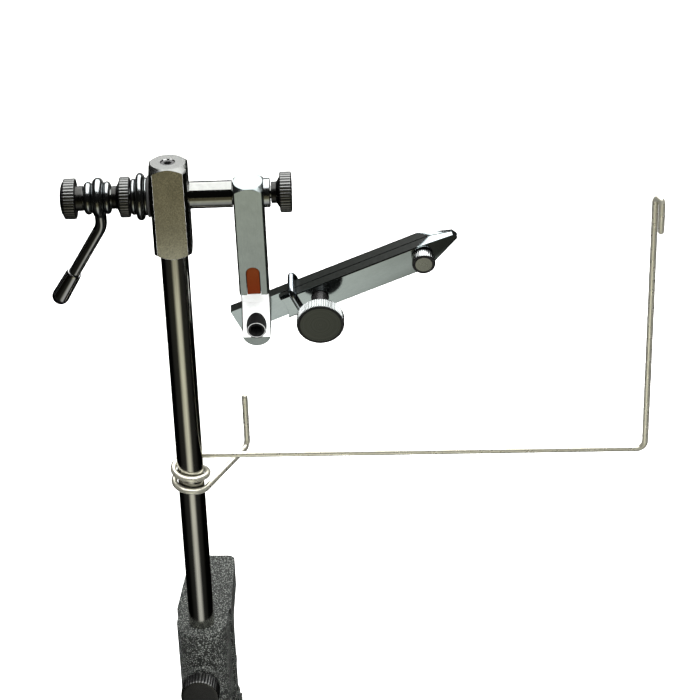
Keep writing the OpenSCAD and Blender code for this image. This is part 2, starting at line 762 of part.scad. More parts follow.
module front_jaw() {
    seat_y0 = front_y1 - seat_t;
    ramp = front_y1 - front_y0 - seat_t;
    hole_r = small_screw_d / 2 + rock_fit;
    color([0.55, 0.57, 0.55]) at_jaw() difference() {
        union() {
            difference() {
                jaw_bar(0, tip_reach, front_y0, front_y1, front_y0);
                tip_cuts(front_y1, front_y0);
            }
            translate([small_reach, 0, jaw_mid]) bar_y(front_y1 - tip_t, front_y1, hole_r + eye_wall);
        }
        bar_y(-wide, wide, shoulder_r);
        translate([-over, front_y0 - over, -wide / 2])
            cube([seat_end + over, seat_y0 - front_y0 + over, wide]);
        for (side = [-1, 1]) translate([0, seat_y0, side > 0 ? jaw_top : jaw_low]) rotate([45, 0, 0])
            translate([-over, -ramp / 2, -ramp / 2]) cube([seat_end + over, ramp, ramp]);
        translate([small_reach, 0, jaw_mid]) bar_y(-wide, wide, hole_r);
        translate([big_reach, 0, jaw_mid]) bar_y(-wide, wide, big_screw_d / 2 + rock_fit);
    }
}

// Slack of the spring ring behind the rear jaw, taken up as the jaws rock
ring_slack = 1.2;
// Bend radius of the spring ring's corners, at its centre line
ring_bend = 2.65;

module jaw_spring_ring() {
    r = ring_d / 2;
    x = seat_end - r - jaw_edge / 2;
    low_y = front_y1 - seat_t - r;
    high_y = rear_y1 + ring_slack + r;
    top_z = jaw_top + gap + r;
    low_z = jaw_low - gap - r;
    color([0.05, 0.05, 0.05]) at_jaw() translate([x, 0, 0]) {
        for (z = [low_z, top_z]) translate([0, 0, z]) bar_y(low_y + ring_bend, high_y - ring_bend, r);
        for (y = [low_y, high_y]) translate([0, y, low_z + ring_bend])
            cylinder(r = r, h = top_z - low_z - 2 * ring_bend);
        for (c = [[high_y - ring_bend, top_z - ring_bend, 0], [low_y + ring_bend, top_z - ring_bend, 90],
                [low_y + ring_bend, low_z + ring_bend, 180], [high_y - ring_bend, low_z + ring_bend, 270]])
            translate([0, c[0], c[1]]) rotate([90, 0, 90]) rotate([0, 0, c[2]])
                rotate_extrude(angle = 90) translate([ring_bend, 0]) circle(r = r, $fn = 32);
    }
}

big_edge = 0.6;

// A knurled knob along -Y whose back is at y0
module knurled_y(y0, y1, r, depth, count, edge) {
    rotate([0, 0, -90]) knurled_x(-y1, -y0, r, depth, count, edge);
}

module jaw_knob() {
    back = front_y0 - big_stand;
    color([0.35, 0.35, 0.35]) at_jaw() translate([big_reach, 0, jaw_mid]) {
        knurled_y(back - big_t, back, big_d / 2, knurl_depth, big_knurl_count, big_edge);
        bar_y(back - over, rear_y0 + big_seat - gap, big_screw_d / 2);
    }
}

module jaw_adjust_knob() {
    back = front_y0 - gap;
    color([0.6, 0.6, 0.58]) at_jaw() translate([small_reach, 0, jaw_mid]) {
        knurled_y(back - small_t, back, small_d / 2, knurl_depth / 2, small_knurl_count, big_edge / 2);
        bar_y(back - over, rear_y1 - gap, small_screw_d / 2);
    }
}

/* Bobbin cradle: one length of wire, wound round the post and bent up into a hook */

// Clearance of the coil round the post
coil_fit = 0.2;
coil_r = post_r + coil_fit + wire_d / 2;
// Rings in one turn, and rings in a corner
turn_rings = 24;
bend_rings = 5;
// Sides of the wire
wire_sides = 8;
// Bend radius of the hook
hook_r = hook_w / 2;

// Corner of radius r at p between unit directions u and v
function corner(p, u, v, r, n) = let (turn = acos(u * v), t = r * tan(turn / 2), a = p - t * u,
    side = (v - (u * v) * u) / sin(turn)) [for (i = [0:n - 1]) let (b = turn * i / (n - 1))
        a + r * sin(b) * u + r * (1 - cos(b)) * side];

run_dir = [cos(run_turn), -sin(run_turn), 0];
hook_dir = [cos(hook_turn), -sin(hook_turn), 0];
up_dir = [0, 0, 1];
// Turn at which the coil starts, on the far side of the post
coil_start = 90 - run_turn;
coil_end = coil_start + 360 * coil_turns;
finger_dir = [-sin(coil_end), cos(coil_end), 0];
coil_steps = ceil(coil_turns * turn_rings);
coil_path = [for (i = [0:coil_steps])
    let (turned = coil_turns * i / coil_steps, a = coil_start + 360 * turned)
        [coil_r * cos(a), coil_r * sin(a), -coil_drop - coil_pitch * turned]];
run_corner = coil_path[0] + riser_reach * run_dir;
hook_foot = run_corner + riser_h * up_dir;
hook_path = [for (i = [0:2 * bend_rings]) let (b = 180 * i / (2 * bend_rings))
    hook_foot + hook_r * (1 - cos(b)) * hook_dir + hook_r * sin(b) * up_dir];
finger_corner = coil_path[coil_steps] + finger_len * finger_dir;

// From the hook's end along the run, round the coil and up the finger stub
wire_path = concat(
    [hook_foot + hook_w * hook_dir - hook_leg * up_dir],
    [for (i = [len(hook_path) - 1:-1:0]) hook_path[i]],
    corner(run_corner, -up_dir, -run_dir, wire_bend, bend_rings),
    coil_path,
    corner(finger_corner, finger_dir, up_dir, wire_bend, bend_rings),
    [finger_corner + stub_h * up_dir]);

wire_last = len(wire_path) - 1;
// Length of wire from its point i to its point j
function along(i, j) = i >= j ? 0 : norm(wire_path[i + 1] - wire_path[i]) + along(i + 1, j);
// Stretches of wire that are nearer than this along it count as neighbours
neighbour_len = 2.2 * wire_d;
// Least distance between stretches of the wire that aren't neighbours
wire_gap = min([for (i = [0:wire_last]) for (j = [i + 1:1:wire_last]) if (along(i, j) > neighbour_len)
    norm(wire_path[i] - wire_path[j]) - wire_d]);
echo(least_wire_gap = wire_gap);

module bobbin_cradle() {
    color([0.8, 0.78, 0.72]) at_post() tube(wire_path, wire_d / 2, wire_sides, unit(cross(up_dir, hook_dir)));
}

/* Table clamp, in its own frame: the post at the origin, the throat towards +Y */

spine_back = spine_front + spine_t;
lower_top = -throat_h;
lower_low = -throat_h - lower_t;
boss_low = upper_t - boss_h;
// Wall of the lower arm's boss round the screw, and how far it stands out above and below
lower_boss_wall = 5;
lower_boss_proud = 4;
lower_boss_r = clamp_screw_d / 2 + lower_boss_wall;
lower_reach = throat_reach + lower_boss_r / 2;
// Wall of the pad round the lock screw, and how far it stands out of the post's boss
lock_pad_wall = 3.2;
lock_pad_proud = 2.2;
lock_pad_r = lock_d / 2 + lock_pad_wall;
lock_pad_y = boss_r + lock_pad_proud;
// Corners of the casting
corner_r = 3;
throat_fillet = 4;
// Steps in a quarter of an outline's corner
corner_steps = 6;
// Depth of the recess in the spine's sides, and the margin round it
web_recess = 2.4;
web_margin = 3.2;
// Room round the pad in the throat
pad_room = 1;

// Rounded corner points of an outline, turning from angle a0 to a1
function arc_points(c, r, a0, a1) = [for (i = [0:corner_steps]) let (a = a0 + (a1 - a0) * i / corner_steps)
    c + r * [cos(a), sin(a)]];

// The casting seen from above, narrower towards the end of its arms
module clamp_plan_outline() {
    tip = upper_tip_w / 2;
    root = upper_root_w / 2;
    polygon(concat([[-root, spine_front], [root, spine_front]],
        arc_points([tip - corner_r, upper_reach - corner_r], corner_r, 0, 90),
        arc_points([corner_r - tip, upper_reach - corner_r], corner_r, 90, 180)));
}

// The casting seen from the side, a C of two arms and the spine
module clamp_side_outline() {
    polygon(concat([[spine_front, upper_t], [spine_front, lower_low + corner_r]],
        arc_points([spine_front + corner_r, lower_low + corner_r], corner_r, 180, 270),
        [[lower_reach, lower_low], [lower_reach, lower_top]],
        arc_points([spine_back + throat_fillet, lower_top + throat_fillet], throat_fillet, 270, 180),
        arc_points([spine_back + throat_fillet, -throat_fillet], throat_fillet, 180, 90),
        [[upper_reach, 0], [upper_reach, upper_t]]));
}

module clamp_casting() {
    intersection() {
        translate([-wide, 0, 0]) rotate([90, 0, 90]) linear_extrude(2 * wide) clamp_side_outline();
        translate([0, 0, lower_low]) linear_extrude(upper_t - lower_low) clamp_plan_outline();
    }
    translate([0, 0, boss_low]) cylinder(r = boss_r, h = boss_h);
    translate([-boss_r, 0, boss_low]) cube([2 * boss_r, spine_front + over, boss_h]);
    translate([0, throat_reach, lower_low - lower_boss_proud])
        cylinder(r = lower_boss_r, h = lower_t + 2 * lower_boss_proud);
    translate([0, 0, -lock_drop]) bar_y(-lock_pad_y, 0, lock_pad_r);
}

// Recess in the spine's side at +X
module web_cut() {
    translate([upper_root_w / 2 - web_recess, spine_front + web_margin, lower_low + 2 * web_margin])
        cube([wide, spine_t - 2 * web_margin, throat_h + lower_t - 4 * web_margin]);
}

module clamp_body() {
    color([0.42, 0.45, 0.43]) at_clamp() difference() {
        clamp_casting();
        web_cut();
        mirror([1, 0, 0]) web_cut();
        translate([0, 0, boss_low - over]) cylinder(r = post_r + run_fit, h = boss_h + 2 * over);
        translate([0, throat_reach, lower_top + throat_fillet])
            cylinder(r = pad_d / 2 + pad_room, h = throat_h - 2 * throat_fillet);
        translate([0, throat_reach, -wide - throat_h])
            cylinder(r = clamp_screw_d / 2 + run_fit, h = 2 * wide);
        translate([0, 0, -lock_drop]) bar_y(-wide, 0, lock_d / 2 + run_fit);
    }
}

// Knob of the post lock screw: its radius, its length and the length of its collar
lock_knob_r = 7.2;
lock_knob_t = 6;
lock_stand = 2.5;
// Share of the knob's radius that its collar has
collar_share = 0.6;

module post_lock_screw() {
    neck = lock_pad_y + gap + lock_stand;
    color([0.2, 0.2, 0.2]) at_clamp() translate([0, 0, -lock_drop]) {
        bar_y(-neck - over, -post_r - gap, lock_d / 2);
        bar_y(-neck - over, gap - neck, lock_knob_r * collar_share);
        knurled_y(-neck - lock_knob_t, -neck, lock_knob_r, knurl_depth, knurl_count, knob_edge);
    }
}

pad_low = -pad_open - pad_t;
// Ball at the clamp screw's top, held in the pad's socket
ball_r = 0.4 * clamp_screw_d;
// Wall and height of the clamp screw's head
screw_head_wall = 2.5;
screw_head_h = 14;
screw_head_r = clamp_screw_d / 2 + screw_head_wall;
screw_low = pad_low - clamp_screw_len;
bar_z = screw_low - screw_head_h / 2;

// Chamfer of the pad's upper edge, and share of its radius that its underside has
pad_edge = 0.6;
pad_foot_share = 0.62;

module clamp_pad() {
    pad_r = pad_d / 2;
    color([0.35, 0.35, 0.35]) at_clamp() translate([0, throat_reach, 0]) difference() {
        translate([0, 0, pad_low]) rotate_extrude() polygon([[0, 0], [pad_r * pad_foot_share, 0],
            [pad_r, pad_t / 2], [pad_r, pad_t - pad_edge], [pad_r - pad_edge, pad_t], [0, pad_t]]);
        translate([0, 0, pad_low - over]) cylinder(r = ball_r + run_fit, h = pad_t / 2 + over);
    }
}

module clamp_screw() {
    r = clamp_screw_d / 2;
    edge = r / 4;
    top = pad_low + pad_t / 2 - gap;
    low = screw_low - screw_head_h;
    color([0.6, 0.6, 0.6]) at_clamp() translate([0, throat_reach, 0]) difference() {
        rotate_extrude() polygon([[0, top], [ball_r, top], [ball_r, pad_low - gap], [r, pad_low - gap - edge],
            [r, screw_low], [screw_head_r, screw_low - edge], [screw_head_r, low + edge],
            [r, low], [0, low]]);
        translate([0, 0, bar_z]) bar_x(-wide, wide, bar_d / 2 + run_fit);
    }
}

// Wall and length of the caps on the tommy bar's ends
cap_wall = 1.6;
cap_len = 6;
cap_r = bar_d / 2 + cap_wall;

module tommy_bar() {
    color([0.6, 0.6, 0.6]) at_clamp() translate([0, throat_reach, bar_z])
        bar_x(-bar_len / 2, bar_len / 2, bar_d / 2);
}

module tommy_bar_caps() {
    near = (bar_len - cap_len) / 2;
    far = (bar_len + cap_len) / 2;
    color([0.1, 0.1, 0.1]) at_clamp() translate([0, throat_reach, bar_z])
        for (side = [0, 180]) rotate([0, 0, side]) difference() {
            turned_x([[near, 0], [near, cap_r - knob_edge], [near + knob_edge, cap_r],
                [far - 2 * knob_edge, cap_r], [far, cap_r - 2 * knob_edge], [far, 0]]);
            bar_x(0, bar_len / 2, bar_d / 2);
        }
}

clamp_body();
post_lock_screw();
clamp_pad();
clamp_screw();
tommy_bar();
tommy_bar_caps();
post();
head_block();
drag_set_screw();
drag_plug();
post_set_screw();
bobbin_cradle();
rotary_shaft();
friction_washer();
inner_drag_ring();
large_drag_ring();
outer_drag_ring();
drag_knob();
crank_inner_ring();
crank();
crank_outer_ring();
crank_grip();
crank_lock_knob();
arm();
slot_insert();
arm_washer();
arm_lock_knob();
pivot_screw();
rear_jaw();
front_jaw();
jaw_spring_ring();
jaw_knob();
jaw_adjust_knob();
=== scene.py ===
"""Looks of a rotary fly tying vise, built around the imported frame."""
import json
import math

import bmesh
import bpy
import numpy as np
from mathutils import Matrix, Vector


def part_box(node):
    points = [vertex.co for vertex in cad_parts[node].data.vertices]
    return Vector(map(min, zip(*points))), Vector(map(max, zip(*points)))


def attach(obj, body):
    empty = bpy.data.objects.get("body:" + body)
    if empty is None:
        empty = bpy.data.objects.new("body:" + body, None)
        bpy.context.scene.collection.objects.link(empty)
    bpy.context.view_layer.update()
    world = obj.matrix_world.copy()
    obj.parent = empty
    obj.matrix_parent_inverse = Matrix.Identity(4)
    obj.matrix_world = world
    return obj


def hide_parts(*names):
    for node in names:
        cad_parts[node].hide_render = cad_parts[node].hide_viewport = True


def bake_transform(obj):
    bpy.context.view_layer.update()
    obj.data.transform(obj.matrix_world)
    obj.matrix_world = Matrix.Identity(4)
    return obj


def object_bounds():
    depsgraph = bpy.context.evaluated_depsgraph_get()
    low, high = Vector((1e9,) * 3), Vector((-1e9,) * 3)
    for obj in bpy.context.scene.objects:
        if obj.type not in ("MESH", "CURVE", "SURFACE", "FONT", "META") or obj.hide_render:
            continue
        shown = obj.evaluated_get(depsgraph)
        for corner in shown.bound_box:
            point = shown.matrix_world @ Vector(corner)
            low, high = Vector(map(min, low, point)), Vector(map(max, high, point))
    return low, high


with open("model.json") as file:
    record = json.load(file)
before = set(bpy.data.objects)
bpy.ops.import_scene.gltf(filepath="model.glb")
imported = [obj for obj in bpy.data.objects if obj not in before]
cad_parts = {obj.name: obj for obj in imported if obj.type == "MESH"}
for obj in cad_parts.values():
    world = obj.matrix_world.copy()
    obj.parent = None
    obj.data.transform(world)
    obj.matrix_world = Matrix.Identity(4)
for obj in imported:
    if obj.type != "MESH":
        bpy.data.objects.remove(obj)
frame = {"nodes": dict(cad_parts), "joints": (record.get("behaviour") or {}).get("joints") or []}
CAD_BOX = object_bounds()
MM = 0.001
JOINTS = {j["name"]: j for j in frame["joints"]}


# Frames of the assembly, all read from the joints

def placed(origin, x_axis, y_axis, z_axis):
    """A matrix that takes millimetres in a local frame to metres in the row frame."""
    m = Matrix.Identity(4)
    for k in range(3):
        m[k][3] = origin[k]
        for i, axis in enumerate((x_axis, y_axis, z_axis)):
            m[k][i] = axis[k] * MM
    return m


UP = Vector((0, 0, 1))
RIGHT = Vector((1, 0, 0))
SHAFT_AT = Vector(JOINTS["shaft_spin"]["pos_m"])
HEAD_Y = -Vector(JOINTS["jaw_tilt"]["axis"]).normalized()
POST = placed(SHAFT_AT, RIGHT, (0, 1, 0), UP)
HEAD = placed(SHAFT_AT, RIGHT, HEAD_Y, RIGHT.cross(HEAD_Y))
JAW_W = Vector(JOINTS["jaw_close"]["axis"]).normalized()
JAW = placed(JOINTS["jaw_tilt"]["pos_m"], HEAD_Y.cross(JAW_W), HEAD_Y, JAW_W)
BAR_AXIS = Vector(JOINTS["bar_slide"]["axis"]).normalized()
CLAMP = placed((*SHAFT_AT.xy, 0), BAR_AXIS, UP.cross(BAR_AXIS), UP)
SCREW = placed((*JOINTS["screw_turn"]["pos_m"][:2], 0), BAR_AXIS, UP.cross(BAR_AXIS), UP)


# Mesh tools

def along_x(m):
    """The frame m with its +Z turned to lie on its +X, for pieces turned about the shaft."""
    return m @ Matrix(((0, 0, 1, 0), (0, 1, 0, 0), (-1, 0, 0, 0), (0, 0, 0, 1)))


def along_y(m, x=0.0, z=0.0):
    """The frame m moved to (x, 0, z), with its +Z turned to lie on its +Y."""
    turn = Matrix(((1, 0, 0, 0), (0, 0, 1, 0), (0, -1, 0, 0), (0, 0, 0, 1)))
    return m @ Matrix.Translation((x, 0, z)) @ turn


def linked(name, data):
    """A new object of the scene with this mesh, light or camera."""
    obj = bpy.data.objects.new(name, data)
    bpy.context.scene.collection.objects.link(obj)
    return obj


def baked(obj):
    """Turns what the modifiers make into the object's own mesh."""
    obj.data = bpy.data.meshes.new_from_object(obj.evaluated_get(bpy.context.evaluated_depsgraph_get()))
    obj.modifiers.clear()
    return obj


def finish_mesh(name, verts, faces, place, sharp=35):
    """An object from local points in millimetres, which local_mm keeps for the materials."""
    mesh = bpy.data.meshes.new(name)
    mesh.from_pydata([tuple(place @ Vector(v)) for v in verts], [], faces)
    bm = bmesh.new()
    bm.from_mesh(mesh)
    bmesh.ops.recalc_face_normals(bm, faces=bm.faces)
    bm.to_mesh(mesh)
    bm.free()
    keep_local(mesh, verts)
    mesh.shade_smooth()
    mesh.set_sharp_from_angle(angle=math.radians(sharp))
    return even_normals(linked(name, mesh))


def even_normals(obj):
    """Lets the large faces set the shading normals, so that rounded edges don't bend what they mirror."""
    weighted = obj.modifiers.new("normals", "WEIGHTED_NORMAL")
    weighted.keep_sharp = True
    weighted.weight = 100
    return baked(obj)


def keep_local(mesh, points):
    """Stores the local points in millimetres as the attribute that the materials read."""
    attribute = mesh.attributes.new("local_mm", "FLOAT_VECTOR", "POINT")
    attribute.data.foreach_set("vector", np.array(points, np.float32).ravel())


def softened(profile, r=0.25, steps=3):
    """A profile of (z, radius) points with its corners rounded by about r."""
    out = [profile[0]]
    for a, p, b in zip(profile, profile[1:], profile[2:]):
        a, p, b = (np.array(q, float) for q in (a, p, b))
        u, v = a - p, b - p
        lu, lv = np.linalg.norm(u), np.linalg.norm(v)
        t = min(r, 0.45 * lu, 0.45 * lv)
        if t < 1e-4:
            out.append(tuple(p))
            continue
        start, end = p + u / lu * t, p + v / lv * t
        for i in range(steps + 1):
            s = i / steps
            out.append(tuple((1 - s) ** 2 * start + 2 * s * (1 - s) * p + s ** 2 * end))
    return out + [profile[-1]]


# Share of a knurl's pitch that its ridge's crest has, and points round each ridge
CREST, RIDGE_POINTS = 0.36, 6
# Less than this, in millimetres, is the same place
NEAR = 1e-6


def groove(a, count):
    """Depth share of a straight knurl at angle a: 0 on a ridge and 1 at the bottom of a groove."""
    f = (a * count / (math.tau)) % 1.0
    return max(0.0, 1 - abs(f - CREST / 2 - 0.5) / ((1 - CREST) / 2))


def revolve(name, profile, place, segments=96, knurl=None, closed=False):
    """A turned piece about local Z. knurl is (z0, z1, depth, count, chamfer)."""
    if knurl:
        knurl_low, knurl_high, depth, count, chamfer = knurl
        segments = count * RIDGE_POINTS
    angles = [math.tau * i / segments for i in range(segments)]
    verts, rings = [], []
    for z, r in profile:
        if r < NEAR:
            rings.append([len(verts)])
            verts.append((0, 0, z))
            continue
        rings.append(range(len(verts), len(verts) + segments))
        for a in angles:
            rr = r
            if knurl and knurl_low - NEAR <= z <= knurl_high + NEAR:
                rr = min(r, r + chamfer - depth * groove(a, count))
            verts.append((rr * math.cos(a), rr * math.sin(a), z))
    faces = []
    pairs = list(zip(rings, rings[1:])) + ([(rings[-1], rings[0])] if closed else [])
    for low, high in pairs:
        for i in range(segments):
            j = (i + 1) % segments
            if len(low) == 1:
                faces.append((low[0], high[i], high[j]))
            elif len(high) == 1:
                faces.append((low[i], high[0], low[j]))
            else:
                faces.append((low[i], high[i], high[j], low[j]))
    return finish_mesh(name, verts, faces, place)


def knurled_band(z0, z1, r, edge):
    """Profile of a knurled band with rounded shoulders."""
    steps = 3
    turn = [math.pi / 2 * i / steps for i in range(steps + 1)]
    low = [(z0 + edge * (1 - math.sin(a)), r - edge * (1 - math.cos(a))) for a in reversed(turn)]
    high = [(z1 - edge * (1 - math.sin(a)), r - edge * (1 - math.cos(a))) for a in turn]
    return low + high


def bead(z0, z1, r, bore):
    """Closed profile of a ring whose rim is a half round."""
    t = (z1 - z0) / 2
    turns = [math.pi * i / 16 for i in range(17)]
    rim = [(z0 + t - t * math.cos(a), r - t + t * math.sin(a)) for a in turns]
    return [(z0, bore)] + rim + [(z1, bore)]


def tube(name, path, r, place, sides, side=(0, 1, 0), both=True):
    """A round tube along points, with both ends rounded or only the last."""
    path = [Vector(p) for p in path]
    first, last = (path[0] - path[1]).normalized(), (path[-1] - path[-2]).normalized()
    bends = [math.radians(b) for b in (22, 45, 66, 84)]
    head = [(path[0] + first * r * math.sin(b), r * math.cos(b)) for b in reversed(bends)]
    tail = [(path[-1] + last * r * math.sin(b), r * math.cos(b)) for b in bends]
    rings = (head if both else []) + [(p, r) for p in path] + tail
    verts, faces = [], []
    normal = Vector(side)
    for i, (p, radius) in enumerate(rings):
        d = (rings[min(i + 1, len(rings) - 1)][0] - rings[max(i - 1, 0)][0]).normalized()
        normal = (normal - d * normal.dot(d)).normalized()
        other = d.cross(normal)
        for k in range(sides):
            a = math.tau * k / sides
            verts.append(tuple(p + radius * (math.cos(a) * normal + math.sin(a) * other)))
    for i in range(len(rings) - 1):
        for k in range(sides):
            a, b = i * sides + k, i * sides + (k + 1) % sides
            faces.append((a, a + sides, b + sides, b))
    faces.append(tuple(range(sides)))
    faces.append(tuple(range(len(verts) - 1, len(verts) - 1 - sides, -1)))
    return finish_mesh(name, verts, faces, place, sharp=50)


def corner(p, u, v, r):
    """An arc of radius r at p between the directions u and v."""
    n = 9
    u, v = Vector(u).normalized(), Vector(v).normalized()
    turn = u.angle(v)
    t = r * math.tan(turn / 2)
    side = (v - u * u.dot(v)).normalized()
    start = Vector(p) - u * t
    return [start + u * r * math.sin(turn * i / n) + side * r * (1 - math.cos(turn * i / n))
            for i in range(n + 1)]


def threaded(name, z0, z1, r, pitch, depth, place, segments=40, steps=6):
    """A threaded rod about local Z, with a true helix."""
    rows = max(2, int(abs(z1 - z0) / pitch * steps))
    verts, faces = [(0, 0, z0)], []
    for i in range(rows + 1):
        z = z0 + (z1 - z0) * i / rows
        for k in range(segments):
            turn = k / segments
            wave = abs(((z / pitch - turn) % 1.0) * 2 - 1)
            rr = r - depth * wave
            a = math.tau * turn
            verts.append((rr * math.cos(a), rr * math.sin(a), z))
    verts.append((0, 0, z1))
    for i in range(rows):
        for k in range(segments):
            a, b = 1 + i * segments + k, 1 + i * segments + (k + 1) % segments
            faces.append((a, a + segments, b + segments, b))
    top = 1 + rows * segments
    for k in range(segments):
        faces.append((0, 1 + k, 1 + (k + 1) % segments))
        faces.append((len(verts) - 1, top + (k + 1) % segments, top + k))
    return finish_mesh(name, verts, faces, place, sharp=60)


def dressed(name, node, place, width, segments=3):
    """A copy of a CAD node's surface with its edges rounded, in place of the node."""
    rounded_from, sharp_from = math.radians(25), math.radians(30)
    bm = bmesh.new()
    bm.from_mesh(frame["nodes"][node].data)
    bmesh.ops.remove_doubles(bm, verts=bm.verts, dist=2e-6)
    bmesh.ops.dissolve_limit(bm, angle_limit=math.radians(0.4), verts=bm.verts, edges=bm.edges)
    mesh = bpy.data.meshes.new(name)
    bm.to_mesh(mesh)
    bm.free()
    obj = linked(name, mesh)
    if width:
        bevel = obj.modifiers.new("edges", "BEVEL")
        bevel.width = width * MM
        bevel.segments = segments
        bevel.limit_method = "ANGLE"
        bevel.angle_limit = rounded_from
        bevel.miter_outer = "MITER_ARC"
        mesh = baked(obj).data
    mesh.shade_smooth()
    mesh.set_sharp_from_angle(angle=sharp_from)
    back = place.inverted()
    keep_local(mesh, [back @ v.co for v in mesh.vertices])
    return even_normals(obj)


# Places on the arm that its materials follow, in millimetres in the frame HEAD

NOTCH_TOP, SLOT_TOP = -39.5, -27.6
NOTCH_MIDDLE, NOTCH_HALF = 26.5, 5.1


# Materials

class Nodes:
    """A short hand for building a node tree on the attribute local_mm."""

    def __init__(self, name):
        self.material = bpy.data.materials.new(name)
        self.material.use_nodes = True
        self.tree = self.material.node_tree
        self.shader = self.tree.nodes["Principled BSDF"]
        self.local = self.new("Attribute")
        self.local.attribute_name = "local_mm"

    def new(self, kind, **inputs):
        node = self.tree.nodes.new("ShaderNode" + kind)
        for key, value in inputs.items():
            node.inputs[key.replace("_", " ")].default_value = value
        return node

    def link(self, a, b):
        self.tree.links.new(a, b)

    def scaled(self, scale):
        """The local place, drawn together or out along each axis."""
        node = self.new("VectorMath")
        node.operation = "MULTIPLY"
        node.inputs[1].default_value = scale
        self.link(self.local.outputs["Vector"], node.inputs[0])
        return node.outputs[0]

    def noise(self, scale, detail, rough):
        """Noise with one scale, or one for each axis."""
        node = self.new("TexNoise", Scale=1.0, Detail=detail, Roughness=rough)
        scales = scale if isinstance(scale, tuple) else (scale,) * 3
        self.link(self.scaled(scales), node.inputs["Vector"])
        return node.outputs["Fac"]

    def ramp(self, fac, stops):
        node = self.new("ValToRGB")
        ramp = node.color_ramp
        while len(ramp.elements) < len(stops):
            ramp.elements.new(0.5)
        for element, (place, colour) in zip(ramp.elements, stops):
            element.position = place
            element.color = (*colour, 1)
        self.link(fac, node.inputs["Fac"])
        return node.outputs["Color"]

    def mapped(self, fac, low, high, from_low=0.0, from_high=1.0):
        """fac between from_low and from_high, turned into low to high."""
        node = self.new("MapRange", From_Min=from_low, From_Max=from_high, To_Min=low, To_Max=high)
        self.link(fac, node.inputs["Value"])
        return node.outputs["Result"]

    def math(self, operation, a, b=0.0):
        node = self.new("Math")
        node.operation = operation
        for i, value in enumerate((a, b)):
            if isinstance(value, (int, float)):
                node.inputs[i].default_value = value
            else:
                self.link(value, node.inputs[i])
        return node.outputs[0]

    def mix(self, fac, a, b):
        node = self.new("Mix")
        node.data_type = "RGBA"
        self.link(fac, node.inputs["Factor"])
        for socket, value in ((node.inputs[6], a), (node.inputs[7], b)):
            if isinstance(value, tuple):
                socket.default_value = (*value, 1)
            else:
                self.link(value, socket)
        return node.outputs[2]

    def xyz(self):
        """The local X, Y and Z, in millimetres."""
        split = self.new("SeparateXYZ")
        self.link(self.local.outputs["Vector"], split.inputs[0])
        return split.outputs

    def radius(self, *axes):
        """Distance across these two local axes, in millimetres."""
        xyz = self.xyz()
        squares = [self.math("MULTIPLY", xyz[i], xyz[i]) for i in axes]
        return self.math("SQRT", self.math("ADD", *squares))

    def bump(self, height, distance, strength=1.0):
        node = self.new("Bump", Strength=strength, Distance=distance * MM)
        self.link(height, node.inputs["Height"])
        return node.outputs["Normal"]

    def edges(self, low=0.52, high=0.6):
        """1 on convex edges, 0 elsewhere."""
        geometry = self.new("NewGeometry")
        return self.mapped(geometry.outputs["Pointiness"], 0.0, 1.0, low, high)

    def set(self, **inputs):
        """Gives the shader its inputs, each a socket or a number, and returns the material."""
        for key, value in inputs.items():
            socket = self.shader.inputs[key.replace("_", " ")]
            if isinstance(value, bpy.types.NodeSocket):
                self.link(value, socket)
            else:
                socket.default_value = value
        return self.material


def steel(name, dark, light, rough, grain, depth, cloud=0.15, edge=None):
    """Ground or brushed metal: a grain drawn out along one axis and soft clouds; with edge, convex edges are
    painted lighter, a painted highlight.
    """
    n = Nodes(name)
    lines = n.noise(grain, 6.0, 0.65)
    clouds = n.noise(0.16, 4.0, 0.55)
    colour = n.mix(n.mapped(lines, 0.0, 1.0, 0.3, 0.7), dark, light)
    colour = n.mix(n.mapped(clouds, 0.0, cloud, 0.35, 0.7), colour, tuple(0.5 * c for c in dark))
    # edge: convex edges painted lighter, a painted highlight on ridges
    if edge:
        colour = n.mix(n.edges(), colour, edge)
    return n.set(Base_Color=colour, Metallic=1.0, Roughness=n.mapped(lines, rough[1], rough[0], 0.3, 0.7),
                 Normal=n.bump(lines, depth))


def turned(name, dark, light, rough=(0.2, 0.34), pitch=0.22, depth=0.006):
    """Lathe-turned metal: fine rings about the local axis."""
    n = Nodes(name)
    wobble = n.noise(0.4, 4.0, 0.6)
    r = n.math("ADD", n.radius(0, 1), n.math("MULTIPLY", wobble, 0.25))
    rings = n.math("SINE", n.math("MULTIPLY", r, math.tau / pitch))
    bands = n.new("TexNoise", Scale=1.0, Detail=5.0, Roughness=0.75)
    join = n.new("CombineXYZ")
    n.link(n.math("MULTIPLY", r, 3.0), join.inputs[0])
    n.link(join.outputs[0], bands.inputs["Vector"])
    band = bands.outputs["Fac"]
    height = n.math("ADD", n.math("MULTIPLY", rings, 0.5), band)
    colour = n.mix(n.mapped(band, 0.0, 1.0, 0.35, 0.65), dark, light)
    return n.set(Base_Color=colour, Metallic=1.0, Roughness=n.mapped(band, rough[1], rough[0]),
                 Normal=n.bump(height, depth))


def plain_bright(name, base, rough, depth=0.0015, metal=1.0):
    """Polished or plated metal with faint wipe marks."""
    n = Nodes(name)
    smears = n.noise(0.5, 5.0, 0.6)
    hair = n.noise((0.4, 9, 9), 3.0, 0.5)
    colour = n.mix(n.mapped(smears, 0.0, 1.0, 0.35, 0.75), base, tuple(0.86 * c for c in base))
    return n.set(Base_Color=colour, Metallic=metal, Roughness=n.mapped(smears, *rough, 0.3, 0.75),
                 Normal=n.bump(hair, depth))


def black_oxide(name, base, rough, grain):
    """Satin black oxide over drawn steel, rubbed paler on its edges."""
    n = Nodes(name)
    edge = 0.1
    lines = n.noise(grain, 5.0, 0.6)
    spots = n.noise(1.4, 6.0, 0.7)
    colour = n.mix(n.mapped(lines, 0.0, 1.0, 0.3, 0.75), base, tuple(2.2 * c for c in base))
    colour = n.mix(n.edges(0.54, 0.64), colour, (edge, 0.97 * edge, 0.9 * edge))
    return n.set(Base_Color=colour, Metallic=0.4, Roughness=n.mapped(spots, *rough, 0.3, 0.7),
                 Normal=n.bump(lines, 0.003))


